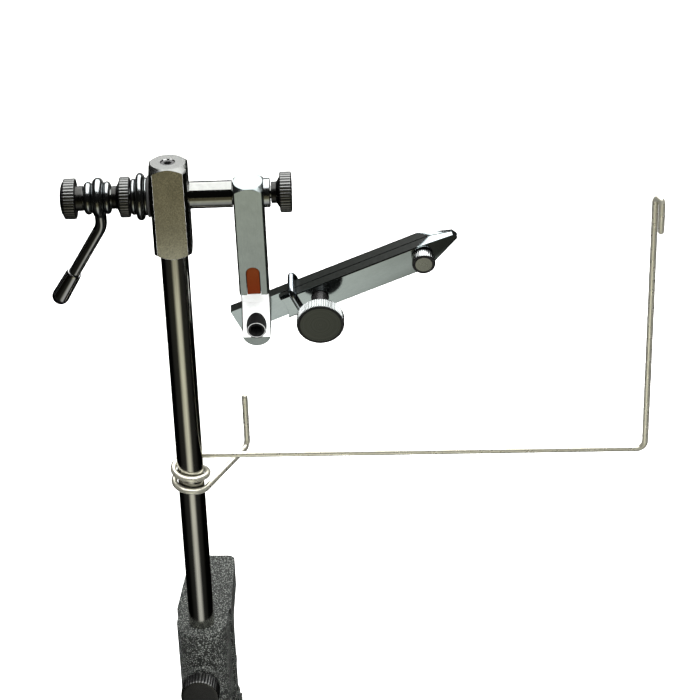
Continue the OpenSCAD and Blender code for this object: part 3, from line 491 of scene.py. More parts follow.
def drawn_rod(name, dark, light, rough):
    """A ground and darkened rod: hair lines along it, and faint clouds of wear."""
    n = Nodes(name)
    lines = n.noise((7, 7, 0.03), 4.0, 0.6)
    clouds = n.noise((0.5, 0.5, 0.06), 4.0, 0.6)
    colour = n.mix(n.mapped(lines, 0.0, 1.0, 0.35, 0.7), dark, light)
    colour = n.mix(n.mapped(clouds, 0.0, 0.5, 0.45, 0.75), colour, dark)
    return n.set(Base_Color=colour, Metallic=1.0, Roughness=n.mapped(clouds, *rough, 0.3, 0.7),
                 Normal=n.bump(lines, 0.0012))


def mill_black(name):
    """The jaws' mill-black edges: dark scale with a dull grain and small pale specks."""
    n = Nodes(name)
    grain = n.noise((0.7, 3, 3), 6.0, 0.7)
    specks = n.noise(4, 3.0, 0.8)
    colour = n.mix(n.mapped(grain, 0.0, 1.0, 0.35, 0.7), (0.0025, 0.003, 0.0025), (0.01, 0.0115, 0.01))
    colour = n.mix(n.mapped(specks, 0.0, 1.0, 0.64, 0.74), colour, (0.07, 0.072, 0.065))
    return n.set(Base_Color=colour, Roughness=n.mapped(grain, 0.36, 0.26), Specular_IOR_Level=0.12,
                 Normal=n.bump(n.math("ADD", grain, specks), 0.01))


def cap_with_painted_ring_highlight(name, inner, outer):
    """A black cap screw whose face has a thin pale ring at its outer edge, a painted highlight, dimmed in
    patches by noise.
    """
    n = Nodes(name)
    black, pale = (0.006, 0.006, 0.006), (0.42, 0.43, 0.42)
    r = n.radius(0, 2)
    wear = n.noise(1.5, 4.0, 0.7)
    # The pale ring is a painted highlight on the head's outer chamfer.
    ring = n.math("MULTIPLY", n.mapped(r, 0.0, 1.0, inner - 0.08, inner),
                  n.mapped(r, 1.0, 0.0, outer, outer + 0.06))
    colour = n.mix(n.math("MULTIPLY", ring, n.mapped(wear, 0.6, 1.0, 0.35, 0.6)), black, pale)
    return n.set(Base_Color=colour, Roughness=n.mapped(wear, 0.5, 0.6),
                 Specular_IOR_Level=0.02, Normal=n.bump(wear, 0.001))


def painted_bright_face(name, middle=None, half=None):
    """Freshly milled faces, painted matt and nearly white for the strong light they catch (painted light),
    with faint cutter marks.

    With half, dark lines of painted shade lie that far to both sides of middle along local X."""
    n = Nodes(name)
    marks = n.noise((0.6, 4, 4), 3.0, 0.6)
    colour = n.mix(n.mapped(marks, 0.0, 1.0, 0.3, 0.7), (0.76, 0.77, 0.76), (0.84, 0.85, 0.84))
    if half:
        # Dark lines along the notch's sides: painted shade at its edges.
        away = n.math("ABSOLUTE", n.math("SUBTRACT", n.xyz()[0], middle))
        painted_shade_line = n.mapped(away, 0.0, 1.0, half - 0.42, half - 0.32)
        colour = n.mix(painted_shade_line, colour, (0.012, 0.012, 0.012))
    return n.set(Base_Color=colour, Roughness=n.mapped(marks, 0.5, 0.62),
                 Normal=n.bump(marks, 0.003))


def hammertone(name):
    """Grey hammered enamel: cells with dark rims and pale speckles."""
    n = Nodes(name)
    cells = n.new("TexVoronoi", Scale=1.7)
    cells.feature = "SMOOTH_F1"
    cells.inputs["Smoothness"].default_value = 0.5
    n.link(n.scaled((1, 1, 1)), cells.inputs["Vector"])
    fine = n.noise(2.4, 4.0, 0.7)
    away = cells.outputs["Distance"]
    height = n.math("ADD", n.math("MULTIPLY", away, -1.0), n.math("MULTIPLY", fine, 0.8))
    stops = ((0.36, (0.19, 0.2, 0.185)), (0.46, (0.09, 0.096, 0.088)), (0.54, (0.01, 0.011, 0.01)))
    colour = n.ramp(n.math("ADD", n.math("MULTIPLY", away, 0.55), n.math("MULTIPLY", fine, 0.6)), stops)
    return n.set(Base_Color=colour, Roughness=n.mapped(fine, 0.5, 0.65, 0.3, 0.7), Specular_IOR_Level=0.15,
                 Normal=n.bump(height, 0.12, 0.6))


def rubber(name, gloss, base=(0.012, 0.012, 0.012), depth=0.006):
    """Moulded black rubber or plastic with a fine skin."""
    n = Nodes(name)
    grain = n.noise(5, 5.0, 0.7)
    haze = n.noise(0.5, 3.0, 0.5)
    colour = n.mix(n.mapped(haze, 0.0, 1.0, 0.4, 0.8), base, tuple(1.8 * c for c in base))
    return n.set(Base_Color=colour, Roughness=n.mapped(grain, *gloss, 0.3, 0.7),
                 Normal=n.bump(grain, depth))


def fibre(name):
    """Red-brown vulcanised fibre, redder towards the notch: painted light thrown up from the notch's bright
    face.
    """
    n = Nodes(name)
    threads = n.noise((1.2, 8, 8), 6.0, 0.7)
    # Painted light: redder towards the notch, for light thrown up from its bright face.
    low = n.mapped(n.xyz()[2], 1.0, 0.0, NOTCH_TOP, SLOT_TOP)
    base = n.mix(low, (0.088, 0.019, 0.003), (0.084, 0.011, 0.001))
    colour = n.mix(n.mapped(threads, 0.0, 0.5, 0.4, 0.75), base, (0.045, 0.009, 0.002))
    return n.set(Base_Color=colour, Roughness=n.mapped(threads, 0.6, 0.8), Specular_IOR_Level=0.03,
                 Normal=n.bump(threads, 0.01))


M = {
    "post": drawn_rod("darkened_post", (0.36, 0.355, 0.325), (0.46, 0.455, 0.42), (0.13, 0.19)),
    "block": steel("brushed_block", (0.15, 0.154, 0.147), (0.2, 0.204, 0.196), (0.22, 0.3), (4, 4, 0.5),
                   0.001, 0.1),
    # The block's front is painted lighter and its sides darker than the rest: painted light and shade on one
    # steel.
    "block_front": steel("brushed_front_painted_light", (0.24, 0.24, 0.225), (0.56, 0.555, 0.52), (0.09, 0.13),
                         (3.2, 3.2, 2.2), 0.003, 0.3),
    "block_side": steel("brushed_side_painted_shade", (0.05, 0.05, 0.048), (0.08, 0.08, 0.075), (0.2, 0.3), (2, 2, 0.5),
                        0.001),
    # Near-white glint on the block's front bevels: a painted highlight.
    "glint": painted_bright_face("block_edge"),
    "shaft": plain_bright("shaft_chrome", (0.205, 0.21, 0.2), (0.08, 0.14), 0.0003),
    "ring": plain_bright("ring_steel", (0.28, 0.295, 0.3), (0.16, 0.24)),
    "washer": rubber("friction_fibre", (0.5, 0.65)),
    # The knobs' ridge tops are painted light through edge: a painted highlight.
    "knob": steel("knurled_steel", (0.022, 0.022, 0.021), (0.05, 0.05, 0.048), (0.24, 0.36), 3, 0.003,
                  edge=(0.45, 0.46, 0.45)),
    "crank": drawn_rod("crank_black", (0.2, 0.2, 0.195), (0.27, 0.27, 0.265), (0.06, 0.1)),
    "grip": drawn_rod("grip_black", (0.24, 0.24, 0.24), (0.32, 0.32, 0.32), (0.05, 0.09)),
    "oring": plain_bright("spring_ring_steel", (0.36, 0.4, 0.43), (0.1, 0.16)),
    "arm": steel("ground_arm", (0.225, 0.254, 0.252), (0.24, 0.27, 0.268), (0.2, 0.23), (2, 2, 0.4), 0.0002,
                 0.2),
    # The notch's face is painted nearly white: painted light.
    "notch": painted_bright_face("notch_painted_light", NOTCH_MIDDLE, NOTCH_HALF),
    "insert": fibre("red_fibre"),
    "cap": black_oxide("cap_screw_black", (0.008, 0.008, 0.008), (0.2, 0.32), 2),
    # The pivot screw's face ring is a painted highlight.
    "pivot": cap_with_painted_ring_highlight("pivot_screw_painted_ring_highlight", 3.0, 3.2),
    "jaw": steel("ground_jaws", (0.34, 0.39, 0.395), (0.37, 0.42, 0.425), (0.09, 0.12), (0.4, 2, 2), 0.0002,
                 0.08),
    "jaw_edge": mill_black("mill_black"),
    "big_face": turned("turned_dark", (0.04, 0.043, 0.037), (0.072, 0.077, 0.067), (0.24, 0.38), 0.3, 0.003),
    "small_face": turned("turned_grey", (0.2, 0.207, 0.183), (0.29, 0.297, 0.266), (0.2, 0.34), 0.22, 0.003),
    "rim": plain_bright("knurled_rim", (0.4, 0.42, 0.415), (0.2, 0.3)),
    # Black for the knobs' lips and backs, and painted shadow lines on the arm and the insert.
    "lip": rubber("knob_lip_and_painted_shadow_black", (0.5, 0.6), (0.004, 0.004, 0.004), 0.001),
    "wire": plain_bright("wire_steel", (0.74, 0.72, 0.6), (0.25, 0.35), 0.0003, 0.86),
    "clamp": hammertone("grey_hammertone"),
    "zinc": plain_bright("zinc_plate", (0.42, 0.42, 0.41), (0.2, 0.36)),
    "pad": turned("turned_pad", (0.26, 0.26, 0.25), (0.42, 0.42, 0.41)),
    "plastic": rubber("cap_plastic", (0.3, 0.42)),
    "brass": plain_bright("turned_brass", (0.72, 0.53, 0.24), (0.2, 0.34)),
}


def seat(obj, material, body, slot, *nodes):
    """Gives a piece its material, its body and the CAD nodes that it stands for, which it hides. slot is not
    used.

    A piece that blends between two bodies has no body here."""
    obj.data.materials.clear()
    for key in ([material] if isinstance(material, str) else material):
        obj.data.materials.append(M[key])
    if body:
        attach(obj, body)
    if nodes:
        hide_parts(*nodes)
    return obj


def dress(name, node, place, width, segments, material, body, slot):
    """A CAD node with rounded edges, seated in the node's place."""
    return seat(dressed(name, node, place, width, segments), material, body, slot, node)


def faces_get(obj, place, index, wanted):
    """Gives a material index to the faces whose local middle and normal are wanted."""
    back = place.inverted()
    turn = place.to_3x3().transposed()
    for polygon in obj.data.polygons:
        if wanted(back @ polygon.center, (turn @ polygon.normal).normalized()):
            polygon.material_index = index


# Camera

def camera():
    """The photograph's camera, from its solved place and angles."""
    focal_px, picture_px, sensor = 2243.757, 700, 36.0
    pitch, roll = math.radians(29.656), math.radians(1.849)
    place = SHAFT_AT + Vector((59.15, -686.025, 328.313)) * MM
    forward = Vector((0, math.cos(pitch), -math.sin(pitch)))
    up = RIGHT.cross(forward)
    rolled_right = RIGHT * math.cos(roll) - up * math.sin(roll)
    rolled_up = RIGHT * math.sin(roll) + up * math.cos(roll)
    data = bpy.data.cameras.new("camera")
    data.sensor_width = sensor
    data.lens = focal_px / picture_px * sensor
    data.clip_start, data.clip_end = 0.01, 50
    obj = linked("camera", data)
    turn = Matrix((rolled_right, rolled_up, -forward)).transposed().to_4x4()
    obj.matrix_world = Matrix.Translation(place) @ turn
    bpy.context.scene.camera = obj


# Studio

# Kinds of ray that can be kept from seeing an object
RAYS = ("camera", "diffuse", "glossy", "shadow", "transmission", "volume_scatter")


def seen_only_by(ray, obj):
    """Hides a part of the studio from every kind of ray but one."""
    for other in RAYS:
        setattr(obj, "visible_" + other, other == ray)


def square_floor(name, reach, z, material):
    """A square sheet of the studio, reach metres to each side, at height z."""
    mesh = bpy.data.meshes.new(name)
    corners = [(-reach, -reach, z), (reach, -reach, z), (reach, reach, z), (-reach, reach, z)]
    mesh.from_pydata(corners, [], [(0, 1, 2, 3)])
    obj = linked(name, mesh)
    mesh.materials.append(material)
    return obj


def plain_material(name, **inputs):
    """A material of one colour, for the studio."""
    m = bpy.data.materials.new(name)
    m.use_nodes = True
    for key, value in inputs.items():
        m.node_tree.nodes["Principled BSDF"].inputs[key.replace("_", " ")].default_value = value
    return m


def joined(tree, kind, *links, **settings):
    """A new node whose inputs get numbers, nodes or outputs of nodes."""
    new = tree.nodes.new("ShaderNode" + kind)
    for key, value in settings.items():
        setattr(new, key, value)
    for socket, source in links:
        if isinstance(source, float):
            new.inputs[socket].default_value = source
        else:
            output = source.outputs[0] if isinstance(source, bpy.types.Node) else source
            tree.links.new(output, new.inputs[socket])
    return new


# What the metal mirrors of the floor, from front to back: y in metres, brightness, and the tint there
WARM, OLIVE, PALE, WHITE = (1.0, 0.9, 0.54), (1.0, 0.99, 0.78), (1.0, 0.99, 0.88), (1.0, 1.0, 0.96)
MIRRORED_FLOOR = ((-1.3, 0.26, WARM), (-0.85, 0.33, WARM), (-0.62, 0.33, WARM), (-0.59, 0.36, WARM),
                  (-0.56, 1.05, OLIVE), (-0.5, 1.25, OLIVE), (-0.38, 1.25, OLIVE), (-0.31, 1.15, PALE),
                  (-0.2, 1.0, WHITE), (-0.13, 0.7, WHITE), (-0.07, 0.03, WHITE), (0.75, 0.03, WHITE),
                  (0.95, 0.8, WHITE), (1.3, 0.8, WHITE))
# The bright patch opens like a fan from the post's foot. As x over y: its middle, and how far from there it
# starts and ends to fade; and the share of light that is left beyond
FAN_MIDDLE, FAN_FULL, FAN_END, FAN_DARK = 0.05, 0.05, 0.66, 0.03


def mirrored_floor():
    """What reflections see in place of the floor: fans of light in front and behind, dark between."""
    m = bpy.data.materials.new("mirrored_floor")
    m.use_nodes = True
    tree = m.node_tree
    tree.nodes.clear()
    split = joined(tree, "SeparateXYZ", (0, joined(tree, "NewGeometry")))
    x, y = split.outputs[:2]
    near, far = MIRRORED_FLOOR[0][0], MIRRORED_FLOOR[-1][0]
    along = joined(tree, "MapRange", ("Value", y), ("From Min", near), ("From Max", far))
    ramp = joined(tree, "ValToRGB", ("Fac", along))
    ramp.color_ramp.interpolation = "EASE"
    while len(ramp.color_ramp.elements) < len(MIRRORED_FLOOR):
        ramp.color_ramp.elements.new(0.5)
    for element, (place, light, tint) in zip(ramp.color_ramp.elements, MIRRORED_FLOOR):
        element.position = (place - near) / (far - near)
        element.color = (*(light * c for c in tint), 1)
    side = joined(tree, "Math", (0, x), (1, SHAFT_AT.x), operation="SUBTRACT")
    front = joined(tree, "Math", (0, SHAFT_AT.y), (1, y), operation="SUBTRACT")
    slope = joined(tree, "Math", (0, side), (1, front), operation="DIVIDE")
    shifted = joined(tree, "Math", (0, slope), (1, FAN_MIDDLE), operation="SUBTRACT")
    spread = joined(tree, "Math", (0, shifted), operation="ABSOLUTE")
    fade = joined(tree, "MapRange", ("Value", spread), ("From Min", FAN_FULL), ("From Max", FAN_END),
                  ("To Min", 1.0), ("To Max", FAN_DARK), interpolation_type="SMOOTHSTEP")
    emit = joined(tree, "Emission", ("Color", ramp), ("Strength", fade))
    joined(tree, "OutputMaterial", ("Surface", emit))
    return m


def white_cove(low):
    """A plain white cove round the floor, which the camera alone sees."""
    # Radius and height above the floor, in metres
    profile = ((1.05, 0.001), (1.5, 0.02), (2.0, 0.12), (2.6, 0.5), (3.0, 1.3), (3.2, 6.0))
    count = 96
    verts = [(r * math.cos(math.tau * i / count), r * math.sin(math.tau * i / count), low + z)
             for r, z in profile for i in range(count)]
    faces = [(k + i, k + (i + 1) % count, k + count + (i + 1) % count, k + count + i)
             for k in range(0, count * (len(profile) - 1), count) for i in range(count)]
    mesh = bpy.data.meshes.new("white_cove")
    mesh.from_pydata(verts, [], faces)
    mesh.materials.append(plain_material("white_cove", Base_Color=(0, 0, 0, 1), Specular_IOR_Level=0.0,
                                         Emission_Color=(1, 1, 1, 1), Emission_Strength=1.0))
    cove = linked("white_cove", mesh)
    seen_only_by("camera", cove)


def soft_light(name, front, back, width, energy):
    """A broad overhead light between two edges, given by their middles."""
    light = bpy.data.lights.new(name, "AREA")
    light.shape = "RECTANGLE"
    light.size, light.size_y, light.energy = width, (back - front).length, energy
    obj = linked(name, light)
    y_axis = (back - front).normalized()
    z_axis = RIGHT.cross(y_axis)
    turn = Matrix((RIGHT, y_axis, z_axis)).transposed().to_4x4()
    obj.matrix_world = Matrix.Translation((front + back) / 2) @ turn
    obj.visible_camera = False
    return obj


def studio():
    """Floor, reflection card, cove, overhead light, front fill and a dim world."""
    low = CAD_BOX[0].z
    paper = plain_material("pale_floor", Base_Color=(0.93, 0.93, 0.925, 1), Roughness=0.8,
                           Specular_IOR_Level=0.1)
    square_floor("floor", 6.0, low, paper)
    seen_only_by("glossy", square_floor("floor_card", 5.0, low + 0.002, mirrored_floor()))
    white_cove(low)
    soft_light("overhead", Vector((0.22, -0.62, 1.3)), Vector((0.22, 1.75, 1.02)), 1.45, 50)
    fill = soft_light("front_fill", Vector((0.1, -1.3, 0.9)), Vector((0.1, 0.1, 1.45)), 1.6, 50)
    fill.visible_glossy = False
    dim_world()
    bpy.context.scene.view_settings.view_transform = "Standard"


def dim_world():
    """A nearly black world, a little lighter towards +Y."""
    world = bpy.data.worlds.new("studio")
    bpy.context.scene.world = world
    world.use_nodes = True
    tree = world.node_tree
    split = joined(tree, "SeparateXYZ", (0, joined(tree, "TexCoord")))
    spread = joined(tree, "MapRange", ("Value", split.outputs[1]), ("From Min", -1.0))
    ramp = joined(tree, "ValToRGB", ("Fac", spread))
    dark, light = ramp.color_ramp.elements
    dark.position, dark.color = 0.3, (0.01, 0.01, 0.009, 1)
    light.position, light.color = 1.0, (0.05, 0.05, 0.05, 1)
    tree.links.new(ramp.outputs[0], tree.nodes["Background"].inputs["Color"])


# Post and head

POST_R = 4.7625


def head_and_post():
    """The post, the square head block, their two set screws and the drag plug."""
    z0, z1 = ((end.z - SHAFT_AT.z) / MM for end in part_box("post"))
    chamfer = 0.5
    rod = [(z0, 0), (z0, POST_R - chamfer), (z0 + chamfer, POST_R), (z1, POST_R), (z1, 0)]
    seat(revolve("post_rod", softened(rod, 0.2), POST, 128), "post", "post", "black_oxide", "post")
    block = dress("head_block_form", "head_block", POST, 0.4, 2,
                  ["block", "glint", "block_front", "block_side"], "post", "block_steel")
    # Bevel faces round the block's front get the near-white glint material: a painted highlight.
    faces_get(block, POST, 1, lambda p, n: -0.98 < n.y < -0.8 and n.z < 0.1)
    # Front faces painted lighter (painted light), side faces darker (painted shade) than the rest.
    faces_get(block, POST, 2, lambda p, n: n.y < -0.98)
    faces_get(block, POST, 3, lambda p, n: abs(n.x) > 0.62 and n.z < 0.3)
    dress("drag_screw_form", "drag_set_screw", POST, 0.12, 2, "cap", "post", "black_oxide")
    dress("post_screw_form", "post_set_screw", POST, 0.08, 2, "cap", "post", "black_oxide")
    dress("drag_plug_form", "drag_plug", POST, 0.1, 2, "brass", "post", "brass")


# Shaft and what it carries, in millimetres along X from the post's axis

JOURNAL_END, JOURNAL_R = 6.65, 3.75
SHAFT_SHOULDER, SHAFT_R = 21.1, 4.65
ARM_FAR, ARM_SEAT_R = 31.6, 3
STUD_END, STUD_R = 39.15, 2
THREAD_END, THREAD_R = -35.25, 3
END_CHAMFER = 0.4
ARM_WASHER_X = ARM_FAR + 2.3
WASHER_X, RING_IN_X, RING_BIG_X, RING_OUT_X = -7.4, -8.5, -11.3, -13.1
WASHER_R, RING_BORE = 7.1, 3.1


def rotor():
    """The stepped shaft, the friction washer and the drag rings."""
    x = along_x(HEAD)
    shaft = [(THREAD_END, 0), (THREAD_END, THREAD_R - END_CHAMFER), (THREAD_END + END_CHAMFER, THREAD_R),
             (-JOURNAL_END, THREAD_R), (-JOURNAL_END, JOURNAL_R), (JOURNAL_END, JOURNAL_R),
             (JOURNAL_END, SHAFT_R), (SHAFT_SHOULDER, SHAFT_R), (SHAFT_SHOULDER, ARM_SEAT_R),
             (ARM_FAR, ARM_SEAT_R), (ARM_FAR, STUD_R), (STUD_END - END_CHAMFER, STUD_R),
             (STUD_END, STUD_R - END_CHAMFER), (STUD_END, 0)]
    shaft = revolve("shaft", softened(shaft, 0.12), x, 128)
    seat(shaft, "shaft", "rotor", "shaft_chrome", "rotary_shaft")
    washer = [(WASHER_X, RING_BORE), (WASHER_X, WASHER_R), (-JOURNAL_END, WASHER_R),
              (-JOURNAL_END, RING_BORE)]
    washer = revolve("friction_disc", softened(washer, 0.1), x, 96, closed=True)
    seat(washer, "washer", "rotor", "friction_fibre", "friction_washer")
    shaft_ring("drag_ring_inner", "inner_drag_ring", RING_IN_X, WASHER_X, 6.5)
    shaft_ring("drag_ring_large", "large_drag_ring", RING_BIG_X, RING_IN_X, 8.1)
    shaft_ring("drag_ring_outer", "outer_drag_ring", RING_OUT_X, RING_BIG_X, 6.2)


def shaft_ring(name, node, x0, x1, r):
    """A ring on the shaft from x0 to x1, with a half round rim."""
    ring = revolve(name, bead(x0, x1, r, RING_BORE), along_x(HEAD), 112, closed=True)
    seat(ring, "ring", "rotor", "ring_steel", node)


# Crank

CRANK_IN_X, CRANK_HUB_X, CRANK_OUT_X = -22.3, -26.1, -29.0
CRANK_RING_W, CRANK_RING_R, CRANK_HUB_R = 2.4, 5.6, 6.95
CRANK_DROP, CRANK_LEAN, CRANK_ROD_R, CRANK_LEN = 11.5, math.radians(30), 2.05, 35.0
# Where the rod starts below the shaft's axis, and the radius of its bend
CRANK_ROD_TOP, CRANK_BEND_R = 5.9, 8.2
# The grip along the rod from its knee, its radius, and the radius of its root and bore
GRIP_START, GRIP_LEN, GRIP_R, GRIP_ROOT_R, GRIP_BORE = 22.475, 14.6, 3.05, 2.6, 2.1


def crank():
    """The crank's two rings, its hub, and the bent rod with its grip."""
    shaft_ring("crank_ring_inner", "crank_inner_ring", CRANK_IN_X, CRANK_IN_X + CRANK_RING_W, CRANK_RING_R)
    shaft_ring("crank_ring_outer", "crank_outer_ring", CRANK_OUT_X, CRANK_HUB_X, CRANK_RING_R)
    shaft_ring("crank_hub", "crank", CRANK_HUB_X, CRANK_IN_X, CRANK_HUB_R)
    mid = (CRANK_HUB_X + CRANK_IN_X) / 2
    knee = Vector((mid, 0, -CRANK_DROP))
    lean = Vector((-math.sin(CRANK_LEAN), 0, -math.cos(CRANK_LEAN)))
    bend = corner(knee, (0, 0, -1), lean, CRANK_BEND_R)
    path = [Vector((mid, 0, -CRANK_ROD_TOP))] + bend + [knee + lean * CRANK_LEN]
    rod = tube("crank_rod", path, CRANK_ROD_R, HEAD, 36, both=False)
    seat(rod, "crank", "rotor", "black_gloss", "crank")
    crank_grip(knee, lean)


def crank_grip(knee, lean):
    """The grip on the crank's rod, in a frame whose +Z runs along the rod from its knee."""
    z_axis = HEAD.to_3x3() @ lean / MM
    place = placed(HEAD @ knee, HEAD_Y.cross(z_axis), HEAD_Y, z_axis)
    start, end = GRIP_START, GRIP_START + GRIP_LEN
    root = [(start, GRIP_BORE), (start, GRIP_ROOT_R), (start + 0.8, GRIP_ROOT_R + 0.12),
            (end - GRIP_R - 0.4, GRIP_R)]
    turns = [math.pi / 2 * i / 10 for i in range(11)]
    nose = [(end - GRIP_R + GRIP_R * math.sin(a), GRIP_R * math.cos(a)) for a in turns]
    profile = softened(root, 0.2) + nose
    profile[-1] = (end, 0)
    bore_end = start + 3
    grip = revolve("crank_grip_form", [(bore_end, 0), (bore_end, GRIP_BORE)] + profile, place, 72)
    seat(grip, "grip", "rotor", "black_rubber", "crank_grip")


# Knurled knobs on the shaft

KNOB_R, KNOB_EDGE, KNOB_BAND = 6.95, 0.55, 4.1
KNOB_SHOULDER = KNOB_R - 0.95
KNOB_GAP = 0.3
THREAD_BORE, STUD_BORE = 3.05, 2.05
# Depth of the knurl, its number of ridges, and the chamfer that its ridges leave standing
KNURL_DEPTH, KNURL_COUNT, KNURL_CHAMFER = 0.35, 36, 0.12


def shaft_knob(name, node, lead, tail, z0, z1, bore):
    """A knurled knob on the shaft: lead and tail are profiles before and after its band."""
    profile = lead + knurled_band(z0, z1, KNOB_R, KNOB_EDGE) + tail
    knurl = (z0, z1, KNURL_DEPTH, KNURL_COUNT, KNURL_CHAMFER)
    obj = revolve(name, profile, along_x(HEAD), knurl=knurl, closed=bore)
    seat(obj, "knob", node, "knurled_steel", node)


def drag_knob():
    """The drag knob: its neck towards the crank and its band towards the rings."""
    neck_x, band_x, face_x, neck_r = -19.6, -16.9, -13.4, 3.9
    neck = [(neck_x, THREAD_BORE), (neck_x, neck_r), (band_x - 1.0, neck_r), (band_x, KNOB_SHOULDER)]
    face = [(face_x, KNOB_SHOULDER), (face_x, THREAD_BORE)]
    shaft_knob("drag_knob_form", "drag_knob", softened(neck, 0.2), face, band_x, face_x, True)


def crank_lock_knob():
    """The knob beyond the crank, with a domed face and a neck towards the crank."""
    neck_x = CRANK_OUT_X - KNOB_GAP
    band_x = neck_x - 2.4
    face_x = band_x - KNOB_BAND
    dome_h, neck_r = 1.4, 4.25
    bore_end = THREAD_END - KNOB_GAP
    turns = [math.pi / 2 * i / 8 for i in range(9)]
    dome = [(face_x - dome_h * math.cos(a), KNOB_SHOULDER * math.sin(a)) for a in turns]
    neck = softened([(band_x, KNOB_SHOULDER), (band_x, neck_r), (neck_x, neck_r), (neck_x, THREAD_BORE),
                     (bore_end, THREAD_BORE), (bore_end, 0)], 0.2)
    shaft_knob("crank_lock_form", "crank_lock_knob", dome, neck, face_x, band_x, False)


def arm_lock_knob():
    """The knob beyond the arm, with a neck towards the arm's washer."""
    neck_x = ARM_WASHER_X + KNOB_GAP
    band_x = neck_x + 2.9
    face_x = band_x + KNOB_BAND
    neck_r, bore_end = 3.7, STUD_END + KNOB_GAP
    neck = softened([(neck_x, STUD_BORE), (neck_x, neck_r), (band_x - 1.1, neck_r), (band_x, 5.45)], 0.2)
    shaft_knob("arm_lock_form", "arm_lock_knob", [(bore_end, 0), (bore_end, STUD_BORE)] + neck,
               [(face_x, KNOB_SHOULDER), (face_x, 0)], band_x, face_x, False)


# Arm

ARM_FRONT = -5.1


def arm():
    """The square arm with its notch, the fibre insert, the washer and the pivot's cap screw."""
    body = dress("arm_form", "arm", HEAD, 0.3, 3, ["arm", "notch", "lip"], "arm", "arm_steel")
    # The notch's slanted face gets the near-white material: painted light for the strong light it catches.
    faces_get(body, HEAD, 1, lambda p, n: (p.z < NOTCH_TOP + 0.2 and p.y > ARM_FRONT + 0.4 and n.y < -0.4
                                           and abs(n.x) < 0.1))
    # Bevels where the legs meet the notch get the black lip material: a painted shadow line.
    faces_get(body, HEAD, 2, lambda p, n: abs(p.z - NOTCH_TOP) < 0.4 and -0.98 < n.y < -0.1 and n.z < -0.1)
    insert = dress("slot_insert_form", "slot_insert", HEAD, 0.3, 3, ["insert", "lip"], "arm", "red_fibre")
    # The insert's sides and edges get the black lip material: a painted shadow round it in the slot.
    faces_get(insert, HEAD, 1, lambda p, n: n.y > -0.95)
    washer_r, bore = 5.0, 2.3
    washer = [(ARM_FAR, bore), (ARM_FAR, washer_r), (ARM_WASHER_X, washer_r), (ARM_WASHER_X, bore)]
    washer = revolve("arm_washer_form", softened(washer, 0.3), along_x(HEAD), 96, closed=True)
    seat(washer, "ring", "arm", "ring_steel", "arm_washer")
    dress("pivot_screw_form", "pivot_screw", JAW, 0.16, 3, "pivot", "arm", "black_oxide")


# Jaws, in millimetres in the frame JAW: X to the tip, Y to the back, from the pivot

BIG_X, SMALL_X, JAW_MID = 24.4, 64.1, -1.0


def jaws():
    """Both jaws, ground on their sides and mill black on their edges, and the ring round them."""
    for node in ("rear_jaw", "front_jaw"):
        jaw = dress(node + "_form", node, JAW, 0.12, 3, ["jaw", "jaw_edge"], node, "jaw_steel")
        faces_get(jaw, JAW, 1, lambda p, n: abs(n.z) > 0.97 or n.x < -0.5)
    spring_ring()


def spring_ring():
    """The ring round both jaws, a rectangle with round corners."""
    r, x, bend = 1.25, 16.175, 2.65
    low_y, high_y, low_z, high_z = 1.15, 12.35, -7.55, 5.55
    steps = 12
    ring = []
    for cy, cz, a0 in ((high_y - bend, high_z - bend, 0), (low_y + bend, high_z - bend, 90),
                       (low_y + bend, low_z + bend, 180), (high_y - bend, low_z + bend, 270)):
        for i in range(steps + 1):
            a = math.radians(a0 + 90 * i / steps)
            ring.append(Vector((x, cy + bend * math.cos(a), cz + bend * math.sin(a))))
    band = seat(closed_tube("spring_ring", ring, r, JAW), "oring", None, "black_rubber", "jaw_spring_ring")
    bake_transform(band)


def closed_tube(name, path, r, place):
    """A round tube along a closed flat loop of points, square to local X."""
    verts, faces, n = [], [], len(path)
    sides = 32
    for i, p in enumerate(path):
        d = (path[(i + 1) % n] - path[i - 1]).normalized()
        normal = Vector((1, 0, 0))
        other = d.cross(normal)
        for k in range(sides):
            a = math.tau * k / sides
            verts.append(tuple(p + r * (math.cos(a) * normal + math.sin(a) * other)))
    for i in range(n):
        for k in range(sides):
            j, m = (i + 1) % n, (k + 1) % sides
            faces.append((i * sides + k, j * sides + k, j * sides + m, i * sides + m))
    return finish_mesh(name, verts, faces, place, sharp=60)


def jaw_knob(name, node, face, x, back, thick, r, knurl, screw):
    """A knurled knob in front of the jaws, with its turned face and its threaded screw.

    knurl is its depth and count, and screw its radius, far end and pitch."""
    place = along_y(JAW, x, JAW_MID)
    front = back - thick
    edge, rim, sunk, near = 0.45, 0.55, 0.15, 0.2
    lip = r - edge
    inner = lip - rim
    profile = ([(front, 0), (front, inner - sunk), (front + sunk, inner), (front, lip)]
               + knurled_band(front, back, r, edge) + [(back, inner), (back, 0)])
    knob = revolve(name + "_rim", profile, place, knurl=(front + near, back, *knurl, 0.1))
    seat(knob, ["rim", face, "lip"], node, "knurled_steel", node)
    faces_get(knob, place, 1, lambda p, n: p.z < front + near and math.hypot(p.x, p.y) < inner)
    faces_get(knob, place, 2, lambda p, n: (p.z > back - 0.05 or p.z < front + near
                                            and inner < math.hypot(p.x, p.y) < lip + near))
    screw_r, screw_end, pitch = screw
    seat(threaded(name + "_screw", back - near, screw_end, screw_r, pitch, 0.28, place), "cap", node,
         "knurled_steel", node)


def jaw_knobs():
    """The big knob that closes the jaws and the small one that sets their gap."""
    jaw_knob("big_knob", "jaw_knob", "big_face", x=BIG_X, back=-10.2, thick=4.4, r=8.3, knurl=(0.35, 84),
             screw=(2.75, 6.6, 0.8))
    jaw_knob("small_knob", "jaw_adjust_knob", "small_face", x=SMALL_X, back=0.7, thick=3.8, r=4.05,
             knurl=(0.18, 32), screw=(1.5, 9.6, 0.5))


# Bobbin cradle

WIRE_R, COIL_FIT = 1.15, 0.2


